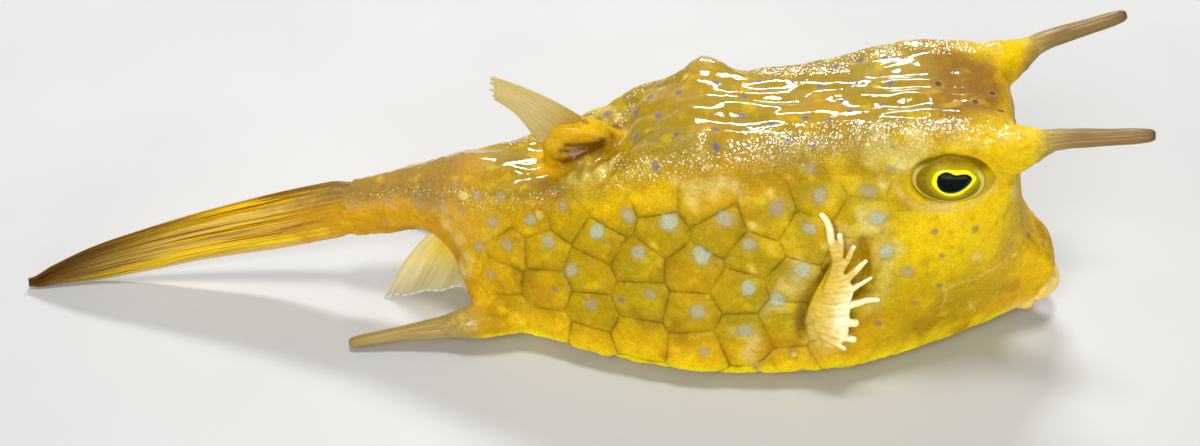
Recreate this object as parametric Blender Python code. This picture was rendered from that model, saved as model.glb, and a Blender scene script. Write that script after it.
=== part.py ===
"""Longhorn cowfish at life size, resting on its belly with the tail fin drooped to the floor.

Lengths are millimetres in every function and become metres when a mesh is made.
X runs towards the snout, Y towards the fish's left side and Z up. The floor is z = 0.
"""

import math
import random

import bmesh
import bpy
from mathutils import Vector

MM = 0.001
GAP = 0.3
SEED = 7
SIDES = {1: "left", -1: "right"}

# Reach of the whole fish along X, from the tip of the tail fin to the tips of the horns
TAIL_TIP_X = -91.6
HORN_TIP_X = 54.1
ORIGIN_X = (TAIL_TIP_X + HORN_TIP_X) / 2

# Where one part of the body ends and the next begins
TAIL_FIN_X = -46.8
PEDUNCLE_X = -32.0

# The section is counted in half plate rows, from the middle of the belly up to the middle of the back
BELLY_STEPS = 5
FLANK_STEPS = 12
BACK_STEPS = 3
HALF_RING = BELLY_STEPS + FLANK_STEPS + BACK_STEPS
RIDGE_STEP = BELLY_STEPS + FLANK_STEPS

# Profiles of the body along X: the keels are the lower edges of the flanks, the ridges their upper edges
KEEL_HALF_WIDTH = (
    (-47, 1.5), (-41, 2.3), (-36, 3.6), (-32, 5.4), (-28, 11.2), (-24, 12.6), (-18, 14.0), (-8, 16.8),
    (2, 18.4), (12, 18.0), (23, 15.8), (28, 13.4), (34, 10.2), (38, 8.0), (41, 6.4), (45, 4.4), (48.6, 2.9),
)
KEEL_HEIGHT = (
    (-47, 9.8), (-41, 10.6), (-36, 11.2), (-32, 9.0), (-28, 4.4), (-22, 3.0), (2, 2.5), (28, 2.7),
    (38, 3.4), (45, 4.6), (48.6, 6.6),
)
RIDGE_HALF_WIDTH = (
    (-47, 1.4), (-41, 2.2), (-36, 3.1), (-32, 4.2), (-28, 5.2), (-19, 7.4), (-9, 8.8), (2, 9.1),
    (20, 9.2), (30, 9.7), (36, 9.5), (38.5, 9.2), (39.8, 8.2), (40.6, 7.0), (41.4, 6.0), (42.2, 5.2),
    (43.2, 4.6), (45, 4.1), (47, 3.8), (48, 3.2), (48.6, 2.6),
)
RIDGE_HEIGHT = (
    (-47, 15.6), (-41, 17.4), (-36, 18.9), (-28, 20.3), (-24, 20.9), (-19, 22.3), (-12.8, 25.6),
    (-9, 28.0), (-6, 29.7), (0, 31.7), (7, 32.3), (13, 33.4), (19, 35.2), (25, 37.3), (30, 38.1),
    (35, 38.0), (37.8, 36.9), (39, 34.6), (39.8, 31.0), (40.6, 27.0), (41.4, 23.2), (42.2, 19.6),
    (43.2, 16.8), (45, 14.2), (47, 12.0), (48, 10.0), (48.6, 7.6),
)
CROWN_HEIGHT = (
    (-47, 17.4), (-41, 19.2), (-36, 20.7), (-28, 22.2), (-19, 22.4), (-14, 23.6), (-10.6, 25.2),
    (-7, 29.0), (-3, 31.7), (0, 32.7), (7, 33.2), (13, 33.9), (19, 35.2), (25, 36.6), (30, 37.1),
    (35, 37.0), (37.8, 36.4), (39.2, 34.9), (40, 31.6), (40.8, 28.0), (41.7, 23.9), (42.5, 19.6),
    (43.4, 17.2), (45, 15.0), (47, 12.9), (48, 11.0), (48.6, 8.5),
)
BELLY_HEIGHT = (
    (-47, 7.8), (-41, 8.6), (-36, 9.8), (-32, 8.0), (-28, 4.0), (-24, 1.2), (-20, 0.3), (36, 0.3),
    (40, 0.8), (43.3, 1.6), (46.2, 3.2), (48.6, 5.6),
)
FLANK_BULGE = (
    (-47, 0.5), (-36, 0.9), (-28, 0.5), (-10, 1.0), (10, 1.0), (24, 1.3), (32, 2.0), (38, 1.4),
    (42, 0.7), (48, 0.5),
)
CORNER_ROUNDING = (
    (-47, 3.2), (-36, 2.6), (-30, 1.3), (-24, 0.8), (30, 0.8), (38, 1.0), (42, 1.8), (48, 2.6),
)

# One blunt knob stands on the middle of each ridge of the back
KNOB_X = 0.8
KNOB_LENGTH = 2.4
KNOB_STEPS = 1.3
KNOB_HEIGHT = 2.0
KNOB_SPLAY = 0.4

# Scutes: each column's rear edge, how far its corners zigzag as a share of its width, how far a plate
# stands out of the groove round it, and how far it is drawn in from its corners
SCUTE_EDGES = (-32.0, -27.0, -21.2, -15.5, -9.5, -3.0, 4.0, 10.7, 17.3, 24.0)
SCUTE_ZIGZAG = 1 / 6
SCUTE_RAISE = 0.34
SCUTE_DOME = 0.16
SCUTE_INSET = 0.2
SCUTE_JITTER = 0.07
ROW_LIFT = ((-24, 0.0), (-12, 0.1), (8, 1.5), (24, 1.2))

# Where the sections of the head and of the tail's stalk are laid out, and the sides of each
HEAD_STATIONS = (
    24, 26, 28, 30, 32, 34, 36, 37.6, 38.6, 39.3, 39.9, 40.5, 41.1, 41.7, 42.3, 43, 43.9, 45, 46, 47,
    47.8, 48.4,
)
HEAD_RING = 56
PEDUNCLE_STATIONS = (-46.8, -44, -41, -38.5, -36, -34, -32)
PEDUNCLE_RING = 32

# The muzzle is cut square to the way the mouth points, and the lips sit on that face
MUZZLE_CENTRE = (45.0, 0.0, 4.9)
MUZZLE_DOWN_ANGLE = 31.0

# Lips: half width and height of the arc that each follows, its half thickness, and how far it stands out
UPPER_LIP = (3.2, 2.35, 2.15, 3.7)
LOWER_LIP = (3.2, -1.95, 1.75, 2.9)
LIP_CORNER_RADIUS = 0.75
LIP_STEPS = 12
LIP_SIDES = 10

# Eyes, the rim of skin round each, and two small nostrils on either side of the snout in x and z
EYE_CENTRE = (31.4, 8.9, 31.0)
EYE_RADII = (5.45, 3.9, 4.1)
EYE_TILT = 10.0
RIM_CENTRE = (31.4, 31.4)
RIM_RADII = (4.75, 3.75)
RIM_THICKNESS = 0.8
RIM_SINK = 0.35
NOSTRILS = ((38.2, 23.8), (40.9, 21.9))
NOSTRIL_RADIUS = 0.5

# Gill slit in front of each side fin, in x and z from top to bottom, with its half width and depth
GILL_SLIT = ((21.2, 22.6), (21.9, 20.4), (22.2, 18.2), (22.0, 16.2), (21.5, 14.6))
GILL_HALF_WIDTH = 0.4
GILL_DEPTH = 1.2

# Horns and ventral spines: each path starts inside the body, and each row is x, y, z and radius
HORN_ROOT = (
    (33.5, 7.6, 33.2, 1.6), (36.6, 8.2, 33.7, 2.8), (38.4, 8.6, 33.8, 3.1), (40.0, 8.9, 34.2, 2.95),
    (41.3, 9.2, 34.9, 2.5), (42.6, 9.55, 35.8, 1.9),
)
HORN_SHAFT = (
    (42.6, 9.55, 35.8, 1.9), (43.8, 9.9, 36.5, 1.3), (45.5, 10.3, 37.2, 1.05), (48.2, 10.9, 38.2, 0.95),
    (51.2, 11.55, 39.25, 0.88), (53.3, 12.0, 39.95, 0.8), (53.9, 12.13, 40.15, 0.5),
)
SPINE_ROOT = (
    (-20.0, 11.0, 4.2, 1.4), (-24.5, 11.5, 4.4, 2.6), (-28.0, 11.95, 4.2, 2.7), (-29.8, 12.15, 3.75, 2.1),
)
SPINE_SHAFT = (
    (-29.8, 12.15, 3.75, 2.1), (-31.6, 12.35, 3.35, 1.65), (-33.8, 12.6, 3.0, 1.32),
    (-37.2, 13.0, 2.45, 1.05), (-41.0, 13.5, 1.75, 0.86), (-44.2, 13.95, 1.15, 0.72),
    (-44.9, 14.05, 1.02, 0.45),
)

# Tail fin, folded: its upper and lower edges, and its bend to the right
TAIL_TOP = ((-91.6, 1.5), (-88, 3.4), (-82, 6.3), (-74, 9.1), (-67, 11.4), (-56, 14.7), (-46.8, 17.3))
TAIL_FOOT = ((-91.6, 0.15), (-84, 0.15), (-76, 1.2), (-68, 2.9), (-57, 4.9), (-46.8, 7.8))
TAIL_BEND = 5.0
TAIL_RAYS = 8
TAIL_STEPS = 12

# Every fin: half thickness at the root and at the tip, the share of it left at the front and rear edges,
# and the height of the ridge along each ray
TAIL_LEAF = (1.9, 0.42, 0.6, 0.16)
DORSAL_LEAF = (1.0, 0.3, 0.8, 0.12)
ANAL_LEAF = (0.85, 0.3, 0.8, 0.12)
PECTORAL_LEAF = (1.05, 0.3, 1.0, 0.12)
LEAF_TAPER = 1.5
RIDGE_START = 0.2
FIN_STEPS = 6

# Back fin: a fleshy lobe on the body, and the folded blade beyond it, in x and z
DORSAL_BASE = ((-10.8, 23.0), (-19.4, 20.4))
DORSAL_ROOT = ((-14.4, 29.6), (-19.8, 26.0))
DORSAL_TIP = ((-26.0, 35.9), (-25.6, 32.0))
DORSAL_RAYS = 6
DORSAL_BOW = (0.5, 0.0, 0.9)
DORSAL_LOBE_HALF_THICKNESS = (2.1, 1.5, 1.0)

# Fin under the tail: its fleshy root, its outer edge, and how far its tips lean to the right
ANAL_BASE = ((-32.9, 10.6), (-37.4, 11.6))
ANAL_ROOT = ((-33.0, 7.5), (-37.3, 7.9))
ANAL_EDGE = ((-30.6, 0.5), (-42.2, 0.6))
ANAL_LEAN = 3.0
ANAL_FLARE = 1.2
ANAL_RAYS = 7
ANAL_LOBE_HALF_THICKNESS = (1.5, 1.2, 0.9)

# Side fin, folded forward against the flank: root line and ray tips in x and z, from top to bottom
PECTORAL_ROOT = ((17.2, 19.6), (15.6, 17.0), (14.6, 14.0), (14.4, 11.4), (15.2, 9.2), (16.6, 7.8))
PECTORAL_TIPS = (
    (15.4, 28.4), (18.2, 26.0), (20.4, 23.6), (22.0, 21.2), (23.0, 18.4), (24.0, 14.8), (22.8, 11.2),
    (21.9, 8.0), (20.2, 5.6),
)
PECTORAL_STAND = (1.7, 2.3)
PECTORAL_WEB = 0.55
PECTORAL_BASE_RADIUS = 1.15
PECTORAL_BASE_HEIGHT = 0.8
PECTORAL_BASE_SPAN = (0.14, 0.92)

# Colours
YELLOW = (0.80, 0.56, 0.05)
AMBER = (0.62, 0.38, 0.05)
HORN_TAN = (0.72, 0.58, 0.36)
FIN_CREAM = (0.86, 0.78, 0.55)
TAIL_GOLD = (0.60, 0.38, 0.06)
LIP_PINK = (0.85, 0.62, 0.38)
EYE_GREEN = (0.05, 0.06, 0.03)


def profile(knots, x):
    """Value at x on a smooth curve through the knots that never overshoots them."""
    if x <= knots[0][0]:
        return knots[0][1]
    if x >= knots[-1][0]:
        return knots[-1][1]
    i = max(n for n, knot in enumerate(knots[:-1]) if knot[0] <= x)
    width = knots[i + 1][0] - knots[i][0]
    u = (x - knots[i][0]) / width
    start, end = knot_slope(knots, i) * width, knot_slope(knots, i + 1) * width
    a, b = knots[i][1], knots[i + 1][1]
    return (
        a * (1 + 2 * u) * (1 - u) ** 2
        + start * u * (1 - u) ** 2
        + b * u * u * (3 - 2 * u)
        - end * u * u * (1 - u)
    )


def knot_slope(knots, i):
    """Slope at knot i: the harmonic mean of its two sides, or zero at a peak, a dip or an end."""
    if i == 0 or i == len(knots) - 1:
        return 0.0
    before = (knots[i][1] - knots[i - 1][1]) / (knots[i][0] - knots[i - 1][0])
    after = (knots[i + 1][1] - knots[i][1]) / (knots[i + 1][0] - knots[i][0])
    if before * after <= 0:
        return 0.0
    return 2 * before * after / (before + after)


def bump(distance, width):
    return math.exp(-((distance / width) ** 2))


def sharp_section(x, t):
    """Corner-sharp section at x: t counts half rows from mid belly, positive to the left."""
    t = (t + HALF_RING) % (2 * HALF_RING) - HALF_RING
    side, t = math.copysign(1, t), abs(t)
    keel = Vector((profile(KEEL_HALF_WIDTH, x), profile(KEEL_HEIGHT, x)))
    ridge = Vector((profile(RIDGE_HALF_WIDTH, x), profile(RIDGE_HEIGHT, x)))
    if t <= BELLY_STEPS:
        s = t / BELLY_STEPS
        belly = profile(BELLY_HEIGHT, x)
        y, z = keel.x * s, belly + (keel.y - belly) * s**4
    elif t <= RIDGE_STEP:
        s = (t - BELLY_STEPS) / FLANK_STEPS
        along = (ridge - keel).normalized()
        swell = profile(FLANK_BULGE, x) * math.sin(math.pi * s)
        y = keel.x + (ridge.x - keel.x) * s + along.y * swell
        z = keel.y + (ridge.y - keel.y) * s - along.x * swell
    else:
        s = (HALF_RING - t) / BACK_STEPS
        y = ridge.x * s
        z = profile(CROWN_HEIGHT, x) * (1 - s * s) + ridge.y * s * s
    knob = KNOB_HEIGHT * bump(x - KNOB_X, KNOB_LENGTH) * bump(t - RIDGE_STEP, KNOB_STEPS)
    return Vector((x, side * (y + KNOB_SPLAY * knob), z + knob))


def skin(x, t):
    """Point on the body, with the corners of the section rounded."""
    reach = profile(CORNER_ROUNDING, x)
    weights = (1, 2, 3, 2, 1)
    total = Vector((0, 0, 0))
    for step, weight in enumerate(weights):
        total += weight * sharp_section(x, t + reach * (step / 2 - 1))
    return total / sum(weights)


def skin_normal(x, t, probe=0.2):
    along = skin(x + probe, t) - skin(x - probe, t)
    around = skin(x, t + probe) - skin(x, t - probe)
    return around.cross(along).normalized()


def raised(x, t, height):
    """Point a given height off the skin, but never under the floor."""
    point = skin(x, t) + height * skin_normal(x, t)
    point.z = max(point.z, 0.0)
    return point


def lifted_row(x, t):
    """Plate rows climb a little towards the head in the middle of the flank."""
    s = (abs(t) - BELLY_STEPS) / FLANK_STEPS
    if not 0 < s < 1:
        return t
    return t + math.copysign(profile(ROW_LIFT, x) * 4 * s * (1 - s), t)


def mesh_object(name, points, faces):
    """Closed mesh from points in millimetres, its faces turned outward."""
    mesh = bpy.data.meshes.new(name)
    mesh.from_pydata([Vector(p) * MM for p in points], [], faces)
    shape = bmesh.new()
    shape.from_mesh(mesh)
    bmesh.ops.recalc_face_normals(shape, faces=shape.faces)
    shape.to_mesh(mesh)
    shape.free()
    obj = bpy.data.objects.new(name, mesh)
    collection("longhorn_cowfish").objects.link(obj)
    return obj


def collection(name):
    if name not in bpy.data.collections:
        made = bpy.data.collections.new(name)
        bpy.context.scene.collection.children.link(made)
    return bpy.data.collections[name]


def loft(name, rings):
    """Closed solid through rings of equal counts, with a flat cap at each end."""
    count = len(rings[0])
    points = [p for ring in rings for p in ring]
    faces = [tuple(range(count)), tuple(range(len(points) - count, len(points)))]
    for r in range(len(rings) - 1):
        for i in range(count):
            a, b = r * count + i, r * count + (i + 1) % count
            faces.append((a, b, b + count, a + count))
    return mesh_object(name, points, faces)


def join_all(obj, others, operation):
    """Boolean of obj with the other objects, applied, keeping the largest closed surface."""
    group = bpy.data.collections.new(obj.name + "_pieces")
    bpy.context.scene.collection.children.link(group)
    for other in others:
        for owner in list(other.users_collection):
            owner.objects.unlink(other)
        group.objects.link(other)
    modifier = obj.modifiers.new("join", "BOOLEAN")
    modifier.operation = operation
    modifier.operand_type = "COLLECTION"
    modifier.collection = group
    modifier.solver = "EXACT"
    graph = bpy.context.evaluated_depsgraph_get()
    graph.update()
    result = bpy.data.meshes.new_from_object(obj.evaluated_get(graph))
    obj.modifiers.clear()
    obj.data = result
    for other in others:
        bpy.data.objects.remove(other)
    bpy.data.collections.remove(group)
    keep_largest(obj)


def keep_largest(obj):
    """Drops every loose scrap that a Boolean left beside the main surface."""
    shape = bmesh.new()
    shape.from_mesh(obj.data)
    shape.verts.ensure_lookup_table()
    unseen = set(shape.verts)
    shells = []
    while unseen:
        front = [unseen.pop()]
        shell = list(front)
        while front:
            for edge in front.pop().link_edges:
                for vert in edge.verts:
                    if vert in unseen:
                        unseen.remove(vert)
                        front.append(vert)
                        shell.append(vert)
        shells.append(shell)
    shells.sort(key=len)
    for shell in shells[:-1]:
        bmesh.ops.delete(shape, geom=shell, context="VERTS")
    shape.to_mesh(obj.data)
    shape.free()


def material(name, colour, roughness):
    made = bpy.data.materials.new(name)
    made.use_nodes = True
    shader = made.node_tree.nodes["Principled BSDF"]
    shader.inputs["Base Color"].default_value = (*colour, 1)
    shader.inputs["Roughness"].default_value = roughness
    shader.inputs["Metallic"].default_value = 0.0
    return made


def finish(obj, colour, roughness, smooth_angle=40):
    obj.data.materials.clear()
    obj.data.materials.append(material(obj.name, colour, roughness))
    obj.data.shade_smooth()
    obj.data.set_sharp_from_angle(angle=math.radians(smooth_angle))
    return obj


def mirrored(points, side):
    return [Vector((p[0], p[1] * side, p[2])) for p in points]


def bent_tube(name, path, radii, sides=14):
    """Solid round horn whose rings stand square to its path."""
    rings = []
    for i, centre in enumerate(path):
        before, after = path[max(i - 1, 0)], path[min(i + 1, len(path) - 1)]
        axis = (Vector(after) - Vector(before)).normalized()
        across = axis.cross(Vector((0, 0, 1))).normalized()
        up = across.cross(axis)
        ring = []
        for n in range(sides):
            angle = 2 * math.pi * n / sides
            ring.append(Vector(centre) + radii[i] * (math.cos(angle) * across + math.sin(angle) * up))
        rings.append(ring)
    return loft(name, rings)


def tube_between(name, rows, side, start_gap=0.0):
    """Tube along rows of x, y, z and radius, its first ring moved on by a gap."""
    path = mirrored([row[:3] for row in rows], side)
    path[0] += (path[1] - path[0]).normalized() * start_gap
    return bent_tube(name, path, [row[3] for row in rows])


def scute_corner(k, j, jitter):
    """Corner of the plates in x and half rows."""
    last = len(SCUTE_EDGES) - 1
    x, t = SCUTE_EDGES[k], float(j)
    if 0 < k < last:
        width = min(SCUTE_EDGES[k + 1] - x, x - SCUTE_EDGES[k - 1])
        zigzag = -SCUTE_ZIGZAG if (k + j) % 2 == 0 else SCUTE_ZIGZAG
        shift = jitter[(k, j % (2 * HALF_RING))]
        x += width * (zigzag + shift[0])
        t += shift[1]
    return x, t


def make_carapace():
    """Body shell of six-sided plates, each raised above the grooves that it shares with its neighbours."""
    draw = random.Random(SEED)
    columns = len(SCUTE_EDGES) - 1
    ring = 2 * HALF_RING
    jitter = {}
    for k in range(columns + 1):
        for j in range(ring):
            along, around = (draw.uniform(-SCUTE_JITTER, SCUTE_JITTER) for _ in range(2))
            jitter[(k, j)] = (along, 2 * around)
    points, faces, corner_index = [], [], {}
    for k in range(columns + 1):
        for j in range(ring):
            x, t = scute_corner(k, j, jitter)
            corner_index[(k, j)] = len(points)
            points.append(raised(x, lifted_row(x, t - HALF_RING), 0.0))
    for k in range(columns):
        for j in range(k % 2, ring, 2):
            keys = ((k, j - 1), (k, j), (k, j + 1), (k + 1, j + 1), (k + 1, j), (k + 1, j - 1))
            add_scute(points, faces, corner_index, keys, jitter)
    faces.append(tuple(corner_index[(0, j)] for j in range(ring)))
    faces.append(tuple(corner_index[(columns, j)] for j in range(ring)))
    return mesh_object("carapace", points, faces)


def add_scute(points, faces, corner_index, keys, jitter):
    """Adds one domed plate and the slopes to its six corners; a plate on the floor has a flat face."""
    corners = [scute_corner(k, j, jitter) for k, j in keys]
    centre = (sum(c[0] for c in corners) / 6, sum(c[1] for c in corners) / 6)
    outer = [corner_index[(k, j % (2 * HALF_RING))] for k, j in keys]
    first = len(points)
    for corner in corners:
        x = corner[0] + (centre[0] - corner[0]) * SCUTE_INSET
        t = corner[1] + (centre[1] - corner[1]) * SCUTE_INSET
        points.append(raised(x, lifted_row(x, t - HALF_RING), SCUTE_RAISE))
    middle = len(points)
    x, t = centre
    points.append(raised(x, lifted_row(x, t - HALF_RING), SCUTE_RAISE + SCUTE_DOME))
    on_floor = all(point.z == 0 for point in points[first:])
    if on_floor:
        points.pop()
        faces.append(tuple(range(first, middle)))
    for i in range(6):
        n = (i + 1) % 6
        faces.append((outer[i], outer[n], first + n))
        faces.append((outer[i], first + n, first + i))
        if not on_floor:
            faces.append((first + i, first + n, middle))


def body_rings(stations, count):
    rings = []
    for x in stations:
        rings.append([raised(x, 2 * HALF_RING * n / count - HALF_RING, 0.0) for n in range(count)])
    return rings


def make_head():
    stations = [HEAD_STATIONS[0] + GAP] + list(HEAD_STATIONS[1:])
    head = loft("head", body_rings(stations, HEAD_RING))
    cut_muzzle(head)
    raised_forms = [tube_between("horn_root", HORN_ROOT, side) for side in SIDES]
    raised_forms += [eye_rim(side) for side in SIDES]
    join_all(head, raised_forms, "UNION")
    hollows = [eye_solid("socket", side, GAP) for side in SIDES]
    hollows += [nostril(place, side) for place in NOSTRILS for side in SIDES]
    join_all(head, hollows, "DIFFERENCE")
    return finish(head, YELLOW, 0.35)


def muzzle_axis():
    angle = math.radians(MUZZLE_DOWN_ANGLE)
    return Vector((math.cos(angle), 0, -math.sin(angle)))


def cut_muzzle(head):
    shape = bmesh.new()
    shape.from_mesh(head.data)
    geometry = shape.verts[:] + shape.edges[:] + shape.faces[:]
    cut = bmesh.ops.bisect_plane(
        shape,
        geom=geometry,
        plane_co=Vector(MUZZLE_CENTRE) * MM,
        plane_no=muzzle_axis(),
        clear_outer=True,
    )
    edges = [e for e in cut["geom_cut"] if isinstance(e, bmesh.types.BMEdge)]
    bmesh.ops.edgeloop_fill(shape, edges=edges)
    shape.to_mesh(head.data)
    shape.free()


def eye_solid(name, side, grow=0.0):
    """Flattened ball, grown a little where it is the cutter of the socket."""
    shape = bmesh.new()
    bmesh.ops.create_uvsphere(shape, u_segments=24, v_segments=14, radius=1)
    tilt = math.radians(EYE_TILT) * side
    for vert in shape.verts:
        p = Vector([c * (r + grow) for c, r in zip(vert.co, EYE_RADII)])
        y = p.y * math.cos(tilt) - p.z * math.sin(tilt)
        z = p.y * math.sin(tilt) + p.z * math.cos(tilt)
        centre = Vector((EYE_CENTRE[0], EYE_CENTRE[1] * side, EYE_CENTRE[2]))
        vert.co = (Vector((p.x, y, z)) + centre) * MM
    return object_from(shape, name)


def on_flank(x, z, side, height=0.0):
    """Point a given height off the flank of one side, at x and z."""
    point = raised(x, step_at_height(x, z), height)
    return Vector((point.x, point.y * side, point.z))


def ring_tube(name, middles, centre, radius, sides=8):
    """Closed tube along a loop of points, its sections standing away from the loop's centre."""
    rings = []
    for i, middle in enumerate(middles):
        along = (middles[(i + 1) % len(middles)] - middles[i - 1]).normalized()
        spoke = (middle - centre).normalized()
        across = along.cross(spoke).normalized()
        turns = [2 * math.pi * n / sides for n in range(sides)]
        rings.append([middle + radius * (math.cos(a) * spoke + math.sin(a) * across) for a in turns])
    points = [p for ring in rings for p in ring]
    faces = []
    for r in range(len(rings)):
        for n in range(sides):
            a, b = r * sides + n, r * sides + (n + 1) % sides
            c, d = (a + sides) % len(points), (b + sides) % len(points)
            faces.append((a, b, d, c))
    return mesh_object(name, points, faces)


def eye_rim(side, steps=28):
    """Low ring of skin on the head round the eye."""
    middles = []
    for n in range(steps):
        angle = 2 * math.pi * n / steps
        x = RIM_CENTRE[0] + RIM_RADII[0] * math.cos(angle)
        z = RIM_CENTRE[1] + RIM_RADII[1] * math.sin(angle)
        middles.append(on_flank(x, z, side, -RIM_SINK))
    centre = sum(middles, Vector()) / steps
    return ring_tube("eye_rim", middles, centre, RIM_THICKNESS)


def nostril(place, side):
    """Small ball that cuts a pit in the snout."""
    shape = bmesh.new()
    bmesh.ops.create_uvsphere(shape, u_segments=8, v_segments=6, radius=NOSTRIL_RADIUS * MM)
    bmesh.ops.translate(shape, verts=shape.verts, vec=on_flank(*place, side) * MM)
    return object_from(shape, "nostril")


def object_from(shape, name):
    mesh = bpy.data.meshes.new(name)
    shape.to_mesh(mesh)
    shape.free()
    obj = bpy.data.objects.new(name, mesh)
    collection("longhorn_cowfish").objects.link(obj)
    return obj


def gill_slit(side):
    """Thin curved wedge that cuts the slit in front of the side fin."""
    rings = []
    last = len(GILL_SLIT) - 1
    for n, (x, z) in enumerate(GILL_SLIT):
        half = GILL_HALF_WIDTH * (0.25 + 0.75 * math.sin(math.pi * n / last))
        depth = GILL_DEPTH * (0.4 + 0.6 * math.sin(math.pi * n / last))
        ring = [on_flank(x + half, z, side, 1.0), on_flank(x - half, z, side, 1.0)]
        rings.append(ring + [on_flank(x, z, side, -depth)])
    return loft("gill_slit", rings)


def make_eye(side, name):
    return finish(eye_solid("eye_" + name, side), EYE_GREEN, 0.08)


def make_peduncle():
    stations = list(PEDUNCLE_STATIONS[:-1]) + [PEDUNCLE_X - GAP]
    peduncle = loft("tail_peduncle", body_rings(stations, PEDUNCLE_RING))
    lobe = fleshy_lobe("anal_lobe", ANAL_BASE, ANAL_ROOT, ANAL_LOBE_HALF_THICKNESS)
    join_all(peduncle, [lobe], "UNION")
    return finish(peduncle, AMBER, 0.35)


def leaf_half_thickness(sizes, u, v, on_ray):
    """Half thickness of a fin at u across its rays and v from root to tip."""
    root, tip, edge, ridge = sizes
    round_edge = math.sqrt(max(0.0, 1 - (2 * u - 1) ** 2))
    body = tip + (root - tip) * (1 - v) ** LEAF_TAPER
    rise = ridge * min(1.0, v / RIDGE_START) if on_ray else 0.0
    return body * (edge + (1 - edge) * round_edge) + rise


def sideways(u, v):
    return Vector((0, 1, 0))


def ribbed_fin(name, mid, normal, leaf, rays, steps, reach=None):
    """Fin with a raised ridge along each ray, split into triangles alike on both faces.

    mid(u, v) is the middle of the fin, u across the rays and v from root to tip, and
    reach(u) shortens the web between the tips of the rays.
    """
    lines = 2 * rays - 1
    faces_of = []
    points = []
    for face in (1, -1):
        grid = []
        for i in range(lines):
            u = i / (lines - 1)
            row = []
            for j in range(steps + 1):
                v = j / steps * (reach(u, i % 2 == 0) if reach else 1.0)
                depth = leaf_half_thickness(leaf, u, v, i % 2 == 0)
                row.append(len(points))
                points.append(mid(u, v) + face * depth * normal(u, v))
            grid.append(row)
        faces_of.append(grid)
    front, back = faces_of
    faces = []
    for i in range(lines - 1):
        for j in range(steps):
            for grid, flip in ((front, False), (back, True)):
                a, b, c, d = grid[i][j], grid[i + 1][j], grid[i + 1][j + 1], grid[i][j + 1]
                for tri in ((a, b, c), (a, c, d)):
                    faces.append(tri[::-1] if flip else tri)
    rim = [(i, 0) for i in range(lines)] + [(lines - 1, j) for j in range(1, steps + 1)]
    rim += [(i, steps) for i in range(lines - 2, -1, -1)] + [(0, j) for j in range(steps - 1, 0, -1)]
    for n, (i, j) in enumerate(rim):
        k, m = rim[(n + 1) % len(rim)]
        faces.append((front[i][j], back[i][j], back[k][m]))
        faces.append((front[i][j], back[k][m], front[k][m]))
    return mesh_object(name, points, faces)


def make_tail_fin():
    start = TAIL_FIN_X - GAP
    length = start - TAIL_TIP_X

    def mid(u, v):
        x = start - length * v
        top, foot = profile(TAIL_TOP, x), profile(TAIL_FOOT, x)
        return Vector((x, -TAIL_BEND * v * v, foot + (top - foot) * u))

    def normal(u, v):
        slope = 2 * TAIL_BEND * v / length
        return Vector((-slope, 1, 0)).normalized()

    fin = ribbed_fin("caudal_fin", mid, normal, TAIL_LEAF, TAIL_RAYS, TAIL_STEPS)
    return finish(fin, TAIL_GOLD, 0.4, 20)


def in_plane(pair, u, y=0.0):
    (x0, z0), (x1, z1) = pair
    return Vector((x0 + (x1 - x0) * u, y, z0 + (z1 - z0) * u))


def oval_ring(front, rear, half_thickness, count=16):
    """Oval from the front point to the rear point, thick to both sides of the midline."""
    ring = []
    for n in range(count):
        angle = 2 * math.pi * n / count
        point = front + (rear - front) * (0.5 - 0.5 * math.cos(angle))
        ring.append(point + Vector((0, half_thickness * math.sin(angle), 0)))
    return ring


def fleshy_lobe(name, base, root, half_thicknesses):
    """Lobe of flesh from the body out to the root of a fin."""
    rings = []
    for n, half in enumerate(half_thicknesses):
        v = n / (len(half_thicknesses) - 1)
        front = in_plane(base, 0).lerp(in_plane(root, 0), v)
        rear = in_plane(base, 1).lerp(in_plane(root, 1), v)
        rings.append(oval_ring(front, rear, half))
    return loft(name, rings)


def make_dorsal_fin():
    front, rear = in_plane(DORSAL_ROOT, 0), in_plane(DORSAL_ROOT, 1)
    along = (rear - front).normalized()
    lift = GAP * Vector((along.z, 0, -along.x))

    def mid(u, v):
        root = in_plane(DORSAL_ROOT, u) + lift
        bow = Vector(DORSAL_BOW) * math.sin(math.pi * v)
        return root.lerp(in_plane(DORSAL_TIP, u), v) + bow

    fin = ribbed_fin("dorsal_fin", mid, sideways, DORSAL_LEAF, DORSAL_RAYS, FIN_STEPS)
    return finish(fin, FIN_CREAM, 0.45, 20)


def make_anal_fin():
    drop = Vector((0, 0, -GAP))

    def mid(u, v):
        root = in_plane(ANAL_ROOT, u) + drop
        point = root.lerp(in_plane(ANAL_EDGE, u), v)
        point.x += ANAL_FLARE * math.sin(math.pi * v) * (1 - 2 * u)
        point.y -= ANAL_LEAN * v * v * (0.3 + 0.7 * u)
        return point

    fin = ribbed_fin("anal_fin", mid, sideways, ANAL_LEAF, ANAL_RAYS, FIN_STEPS)
    return finish(fin, FIN_CREAM, 0.45, 20)


def polyline(points, u):
    """Point at fraction u along evenly spaced points."""
    place = u * (len(points) - 1)
    i = min(int(place), len(points) - 2)
    f = place - i
    return tuple(a + (b - a) * f for a, b in zip(points[i], points[i + 1]))


def step_at_height(x, z):
    """Half row of the left flank where the skin at x has height z."""
    low, high = float(BELLY_STEPS), float(RIDGE_STEP)
    for _ in range(24):
        middle = (low + high) / 2
        if skin(x, middle).z < z:
            low = middle
        else:
            high = middle
    return low


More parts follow.
